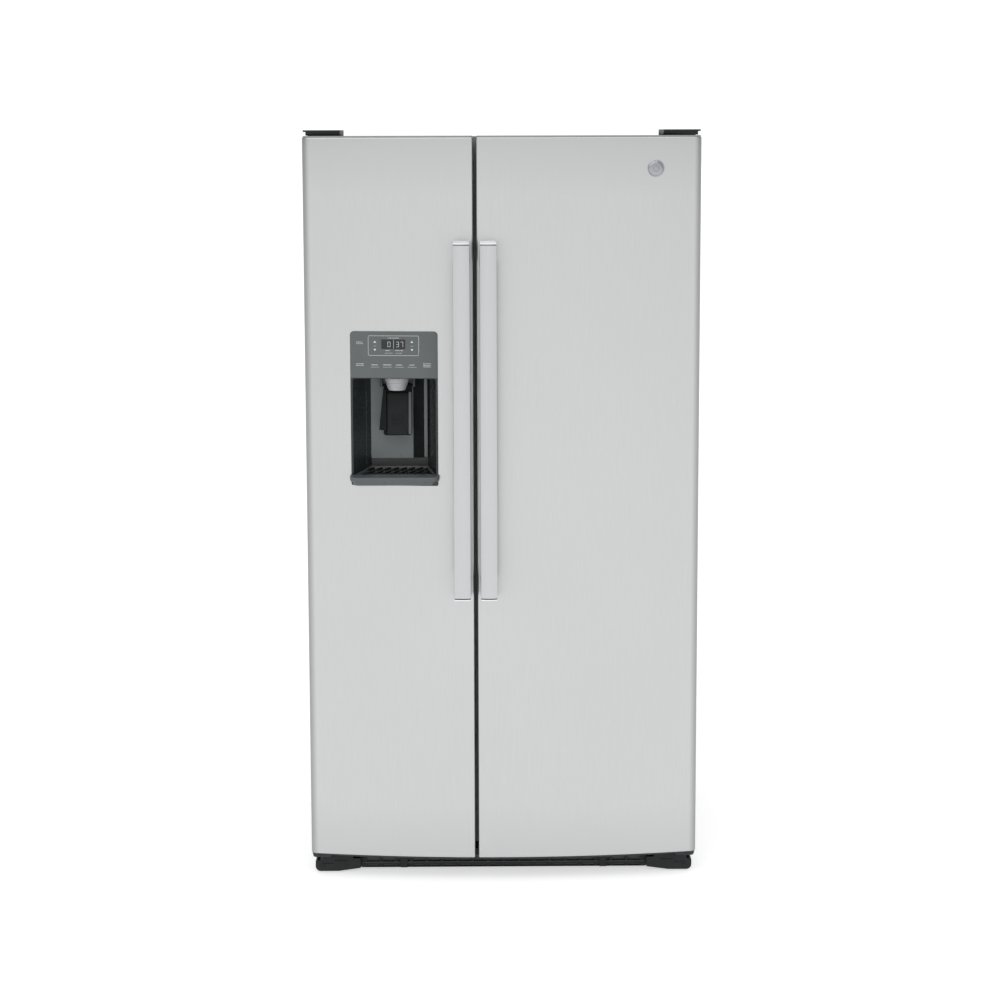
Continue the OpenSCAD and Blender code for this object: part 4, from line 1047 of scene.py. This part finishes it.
def control_marks():
    """The display's glass and digits, and the print round them."""
    low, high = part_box("display_window")
    glass = fascia(Shape(), rounded(low.x, high.x, low.z, high.z, [0.001] * 4), 0.001, BEZEL + 0.00135)
    obj = glass.piece("display_glass", "freezer_door", "display_black", bevel=0.0002, segments=2)
    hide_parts("display_window")
    x = (low.x + high.x) / 2
    base = low.z + 0.0045
    digits = Shape()
    for text, shift, wide in (("0", -0.0135, 0.0070), ("3", 0.0065, 0.0065), ("7", 0.0160, 0.0065)):
        digit(digits, text, x + shift, base, wide, 0.0125, 0.0013)
    bar_mark(digits, x + 0.0002, x + 0.0010, low.z + 0.0015, high.z - 0.0015)
    digits.piece("display_digits", "freezer_door", "panel_plastic", extra["digit_light"])
    print_ = Shape()
    ring_mark(print_, low.x - 0.0305, high.x + 0.0308, low.z - 0.0152, high.z + 0.0086, 0.0035, 0.0007)
    label(print_, x, high.z + 0.0026, 0.026)
    label(print_, x - 0.0125, low.z - 0.0042, 0.012)
    label(print_, x + 0.0135, low.z - 0.0042, 0.018)
    label(print_, x - 0.0100, low.z - 0.0098, 0.019, line=0.0011)
    label(print_, x + 0.0130, low.z - 0.0098, 0.015, line=0.0011)
    middle = (low.z + high.z) / 2
    for px in (low.x - 0.0150, high.x + 0.0150):
        for z, way in ((high.z - 0.0055, 1), (low.z - 0.0020, -1)):
            tri = [(px - 0.0031, z - way * 0.0021), (px + 0.0031, z - way * 0.0021), (px, z + way * 0.0026)]
            mark(print_, tri if way > 0 else tri[::-1])
        bar_mark(print_, px - 0.0030, px + 0.0030, middle - 0.0044, middle - 0.0039)
    label(print_, disp[0] + 0.0225, low.z + 0.0150, 0.016, rows=2)
    label(print_, disp[0] + 0.0225, low.z - 0.0350, 0.018, rows=2)
    # The four pads under the window
    for shift, width in ((-0.0425, 0.015), (-0.0140, 0.020), (0.0135, 0.015), (0.0425, 0.013)):
        label(print_, x + shift, low.z - 0.0372, width, line=0.0023)
        bar_mark(print_, x + shift - 0.0100, x + shift + 0.0100, low.z - 0.0418, low.z - 0.0413)
    label(print_, disp[1] - 0.0240, low.z - 0.0340, 0.018, rows=3)
    print_.piece("panel_print", "freezer_door", "panel_plastic", extra["print_white"])


control_marks()


# ---------- Base ----------

def base():
    """Solid foot covers with a rounded corner and a notch, hinge knuckles, and a dark baffle as painted shade
    behind the grille and under the doors.
    """
    low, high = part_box("leg_covers")
    grille_low, grille_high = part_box("base_grille")
    hinge_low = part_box("bottom_hinges")[0]
    door_z = skins["fresh"][0].z - 0.004
    radius, inner = 0.012, high.x - 0.107
    covers = Shape()
    for side in (-1, 1):
        # The left cover is the mirror image, so its outline runs the other way
        outline = [(inner, low.z + 0.007), (inner + 0.052, low.z)]
        outline += corner(high.x - radius, low.z + radius, radius, 270, 8)
        outline += [(high.x - back, low.z + up) for back, up in
                    ((0.0, 0.024), (0.003, 0.026), (0.011, 0.026), (0.014, 0.031))]
        outline += [(high.x - 0.017, high.z), (inner + 0.020, high.z), (inner + 0.016, high.z - 0.006),
                    (inner, high.z - 0.006)]
        covers.prism([(side * x, z) for x, z in outline][::side], 1, [low.y, high.y])
        # Two ribs and a finger pull on the face
        for out, wide, up, tall in ((0.032, 0.030, 0.023, 0.003), (0.066, 0.026, 0.017, 0.0025),
                                    (0.084, 0.010, 0.009, 0.004)):
            x0, x1 = sorted((side * (inner + out), side * (inner + out + wide)))
            covers.block((x0, low.y - 0.0012, low.z + up), (x1, low.y + 0.002, low.z + up + tall), 0.0006, 2)
    obj = covers.piece("foot_covers", "cabinet", "trim_plastic", bevel=0.0012, segments=2)
    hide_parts("leg_covers")
    knuckles = Shape()
    turned = [(0.0060, 0.0), (0.0090, 0.0012), (0.0100, 0.0030), (0.0100, 0.0080), (0.0092, 0.0092)]
    for side in (-1, 1):
        knuckles.lathe((side * (door_x - 0.0115), hinge_low.y + 0.010, door_z - 0.0098), 2, turned, 32)
    knuckles.piece("hinge_knuckles", "cabinet", "hinge_steel", angle=50)
    # The baffle behind the grille and the walls behind the foot covers, up to the doors, are dark sheets of
    # painted shade.
    behind = grille_low.y + 0.008
    baffle = Shape().block((-inner - 0.001, behind, grille_low.z - 0.0015),
                           (inner + 0.001, behind + 0.003, door_z - 0.0008), 0.0005, 1)
    for side in (-1, 1):
        x0, x1 = sorted((side * inner, side * (inner + 0.066)))
        baffle.block((x0, high.y - 0.030, high.z - 0.002), (x1, high.y - 0.026, door_z - 0.0008), 0.0005, 1)
    # Strips between the grille's bars, seen as fine lines
    for z in (grille_low.z + 0.012, grille_high.z + 0.002):
        baffle.block((grille_low.x, grille_low.y + 0.001, z),
                     (grille_high.x, behind + 0.001, z + 0.0022), 0.0005, 1)
    baffle.piece("base_baffle", "cabinet", "trim_plastic", extra["vent_dark"])


base()


# ---------- Back ----------

def rib(shape, x0, x1, z0, z1, y, rise, radius=0.012):
    """A pressed pad that stands out of a sheet towards +Y."""
    rings = []
    for share, inset in ((0.0, 0.0), (0.5, 0.0015), (0.9, 0.0040), (1.0, 0.0060)):
        rings.append([(x, y + rise * share, z) for x, z in
                      rounded(x0 + inset, x1 - inset, z0 + inset, z1 - inset, [radius - inset] * 4)])
    shape.loft(rings)


def back():
    """The rear sheet with pressed pads, its screws, and those of the machine cover."""
    low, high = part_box("rear_panel")
    face = high.y - 0.0011
    sheet = Shape().block((low.x, low.y - 0.0002, low.z), (high.x, face, high.z), 0.0003, 1)
    across = spaced(low.x + 0.05, high.x - 0.05, 4)
    up = spaced(low.z + 0.05, high.z - 0.05, 6)
    for x0, x1 in zip(across, across[1:]):
        for z0, z1 in zip(up, up[1:]):
            rib(sheet, x0 + 0.012, x1 - 0.012, z0 + 0.012, z1 - 0.012, face - 0.0001, 0.0008, 0.02)
    obj = sheet.piece("rear_sheet", "cabinet", "rear_steel", angle=40)
    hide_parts("rear_panel")
    screws = Shape()
    for x in spaced(low.x + 0.018, high.x - 0.018, 5):
        for z in (low.z + 0.016, high.z - 0.016):
            screws.screw((x, face, z), 0.38)
    for z in spaced(low.z + 0.28, high.z - 0.28, 4):
        for x in (low.x + 0.018, high.x - 0.018):
            screws.screw((x, face, z), 0.38)
    low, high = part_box("machine_cover")
    for x in spaced(low.x + 0.014, high.x - 0.014, 4):
        for z in (low.z + 0.012, high.z - 0.010):
            screws.screw((x, high.y, z), 0.13)
    screws.piece("rear_screws", "cabinet", "zinc_steel", angle=40)


back()


# ---------- Inside ----------

def solids(name):
    """The (lowest, highest) corners of each separate solid of a CAD node, from the bottom up."""
    bm = bmesh.new()
    bm.from_mesh(nodes[name].data)
    bmesh.ops.remove_doubles(bm, verts=bm.verts, dist=1e-5)
    left = set(bm.verts)
    boxes = []
    while left:
        front = [left.pop()]
        group = list(front)
        while front:
            for edge in front.pop().link_edges:
                for v in edge.verts:
                    if v in left:
                        left.remove(v)
                        front.append(v)
                        group.append(v)
        boxes.append(tuple(Vector(f(v.co[i] for v in group) for i in range(3)) for f in (min, max)))
    bm.free()
    return sorted(boxes, key=lambda pair: pair[0].z)


def inside():
    """Shelf fronts, bin rims, lamp lenses and the air duct."""
    trims, strips = Shape(), Shape()
    for low, high in solids("glass_shelves") + solids("crisper_frame")[-1:]:
        z = (low.z + high.z) / 2
        if high.z - low.z < 0.018:
            trims.block((low.x, low.y - 0.005, low.z), (high.x, low.y + 0.014, high.z + 0.0012), 0.003)
            strips.block((low.x + 0.004, low.y - 0.0058, z - 0.0022),
                         (high.x - 0.004, low.y - 0.003, z + 0.0022), 0.0006)
    trims.piece("shelf_fronts", "cabinet", "white_plastic")
    strips.piece("shelf_strips", "cabinet", "white_plastic", extra["chrome_trim"])
    flap_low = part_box("dairy_flap")[0]
    for side in ("freezer", "fresh"):
        rims = Shape()
        for low, high in solids(side + "_door_bins"):
            # The dairy box has its flap there instead of a rim
            if side == "fresh" and high.z > flap_low.z:
                continue
            rims.block((low.x - 0.0004, high.y - 0.004, high.z - 0.014),
                       (high.x + 0.0004, high.y + 0.0014, high.z + 0.0014), 0.0014)
            rims.block((low.x + 0.02, high.y - 0.001, low.z + 0.03),
                       (high.x - 0.02, high.y + 0.0008, low.z + 0.033), 0.0004)
        rims.piece(side + "_bin_rims", side + "_door", "white_plastic")
    lamps, ducts, slots = Shape(), Shape(), Shape()
    for name in ("freezer_liner", "fresh_food_liner"):
        low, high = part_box(name)
        x = (low.x + high.x) / 2
        top = high.z - 0.002
        lamps.block((x - 0.085, low.y + 0.095, top - 0.007), (x + 0.085, low.y + 0.150, top + 0.0005), 0.003)
    base_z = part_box("crisper_frame")[1].z + 0.05
    wall = high.y - 0.002
    ducts.block((x - 0.048, wall - 0.012, base_z), (x + 0.048, wall + 0.0005, top - 0.06), 0.005)
    # Dark slots on the duct's face stand in as painted shade in its vent openings.
    for z in spaced(base_z + 0.06, top - 0.12, 5):
        for side in (-1, 1):
            for k in range(3):
                slots.block((x + side * 0.022 - 0.016, wall - 0.0126, z + k * 0.009),
                            (x + side * 0.022 + 0.016, wall - 0.010, z + k * 0.009 + 0.004), 0.0008, 2)
    lamps.piece("lamp_lenses", "cabinet", "white_plastic", extra["lamp_lens"])
    ducts.piece("air_duct", "cabinet", "white_plastic")
    slots.piece("duct_slots", "cabinet", "white_plastic", extra["vent_dark"])
    # Ribs on the basket's front and strips on the drawers' grips
    low, high = solids("freezer_basket")[0]
    ribs = Shape()
    for x in spaced(low.x + 0.02, high.x - 0.02, 13):
        ribs.block((x - 0.0015, low.y + 0.0088, low.z + 0.012),
                   (x + 0.0015, low.y + 0.0105, high.z - 0.03), 0.0006, 2)
    ribs.piece("basket_ribs", "freezer_basket", "shelf_wire")
    for name in ("crisper_upper", "crisper_lower"):
        low, high = solids(name)[0]
        strip = Shape().block((low.x + 0.002, low.y - 0.0012, high.z - 0.018),
                              (high.x - 0.002, low.y + 0.001, high.z - 0.004), 0.001)
        strip.piece(name + "_strip", name, "white_plastic")


inside()


def soften(widths):
    """Rounds the edges of CAD solids that stay visible."""
    for name, width in widths.items():
        weld = nodes[name].modifiers.new("weld", "WELD")
        weld.merge_threshold = 0.00001
        mod = nodes[name].modifiers.new("edges", "BEVEL")
        mod.width = width
        mod.segments = 2
        mod.limit_method = "ANGLE"
        mod.angle_limit = math.radians(40)
        mod.harden_normals = True


soften({"hinge_covers": 0.0012, "base_grille": 0.0006, "outer_case": 0.0008, "machine_cover": 0.0003,
        "freezer_door_bins": 0.001, "fresh_door_bins": 0.001, "crisper_upper": 0.001, "crisper_lower": 0.001,
        "freezer_basket": 0.001, "ice_bucket": 0.0012, "glass_shelves": 0.0006, "crisper_frame": 0.0012,
        "evaporator_cover": 0.0006, "ice_maker": 0.0012, "dairy_flap": 0.0008, "water_valve": 0.001,
        "power_inlet": 0.0006, "freezer_door_liner": 0.0018, "fresh_door_liner": 0.0018,
        "freezer_liner": 0.0015, "fresh_food_liner": 0.0015})


# ---------- Camera, light and floor ----------

def camera():
    """The photo's viewpoint: a long lens level with the cabinet's top, turned a little down."""
    data = bpy.data.cameras.new("camera")
    data.lens = 79.57
    data.sensor_width = 36.0
    data.shift_y = -0.08
    obj = bpy.data.objects.new("camera", data)
    yaw, pitch, roll = math.radians(0.554), math.radians(7.425), math.radians(-0.153)
    ahead = Vector((math.sin(yaw) * math.cos(pitch), math.cos(yaw) * math.cos(pitch), -math.sin(pitch)))
    level = Vector((math.cos(yaw), -math.sin(yaw), 0.0))
    upright = level.cross(ahead)
    right = level * math.cos(roll) + upright * math.sin(roll)
    up = right.cross(ahead)
    turn = Matrix((right, up, -ahead)).transposed().to_4x4()
    obj.matrix_world = Matrix.Translation((-0.055, -5.405, 1.745)) @ turn
    data.clip_start, data.clip_end = 0.1, 500.0
    bpy.context.scene.collection.objects.link(obj)
    bpy.context.scene.camera = obj


camera()

SKY = 1.06


def studio():
    """An even white sky that falls off a little, a wide soft sun, and the floor."""
    world = bpy.data.worlds.new("studio")
    world.use_nodes = True
    sky = Nodes(world.node_tree)
    background = sky.tree.nodes["Background"].inputs
    background["Color"].default_value = (1, 1, 1, 1)
    strength = None
    # The light falls off overhead, in front and at the sides: (direction, from, to, fall)
    for axis, start, end, fall in (("Z", 0.1, 0.9, 0.40), ("Y", 0.0, -0.9, 0.12), ("X", 0.42, 0.95, 0.50)):
        less = sky.add("ShaderNodeMath", operation="SUBTRACT")
        less.inputs[0].default_value = SKY
        if strength:
            sky.link(strength, less.inputs[0])
        share = sky.spread(sky.along("Generated", axis, axis == "X"), 0.0, fall, start, end)
        sky.link(share, less.inputs[1])
        strength = less.outputs["Value"]
    sky.link(strength, background["Strength"])
    bpy.context.scene.world = world
    sun = bpy.data.lights.new("sky", "SUN")
    sun.energy = 0.9
    sun.angle = math.radians(70)
    obj = bpy.data.objects.new("sky", sun)
    obj.rotation_euler = (math.radians(38), 0, math.radians(-12))
    bpy.context.scene.collection.objects.link(obj)
    floor = Shape().bm
    half = 120.0
    corners = ((-half, -half, 0), (half, -half, 0), (half, half, 0), (-half, half, 0))
    floor.faces.new([floor.verts.new(p) for p in corners])
    mesh = bpy.data.meshes.new("floor")
    floor.to_mesh(mesh)
    obj = bpy.data.objects.new("floor", mesh)
    obj.location.z = -0.0003
    p = Paint("floor_paint", (0.66, 0.66, 0.66))
    p.set("Specular IOR Level", 0.2)
    p.set("Emission Color", (1, 1, 1, 1))
    p.set("Emission Strength", 0.58)
    mesh.materials.append(p.finish((0.995, 1.005, p.noise(0.8)), (0.7, 0.8, p.noise(2.0))))
    bpy.context.scene.collection.objects.link(obj)
    bpy.context.scene.view_settings.view_transform = "Standard"


studio()
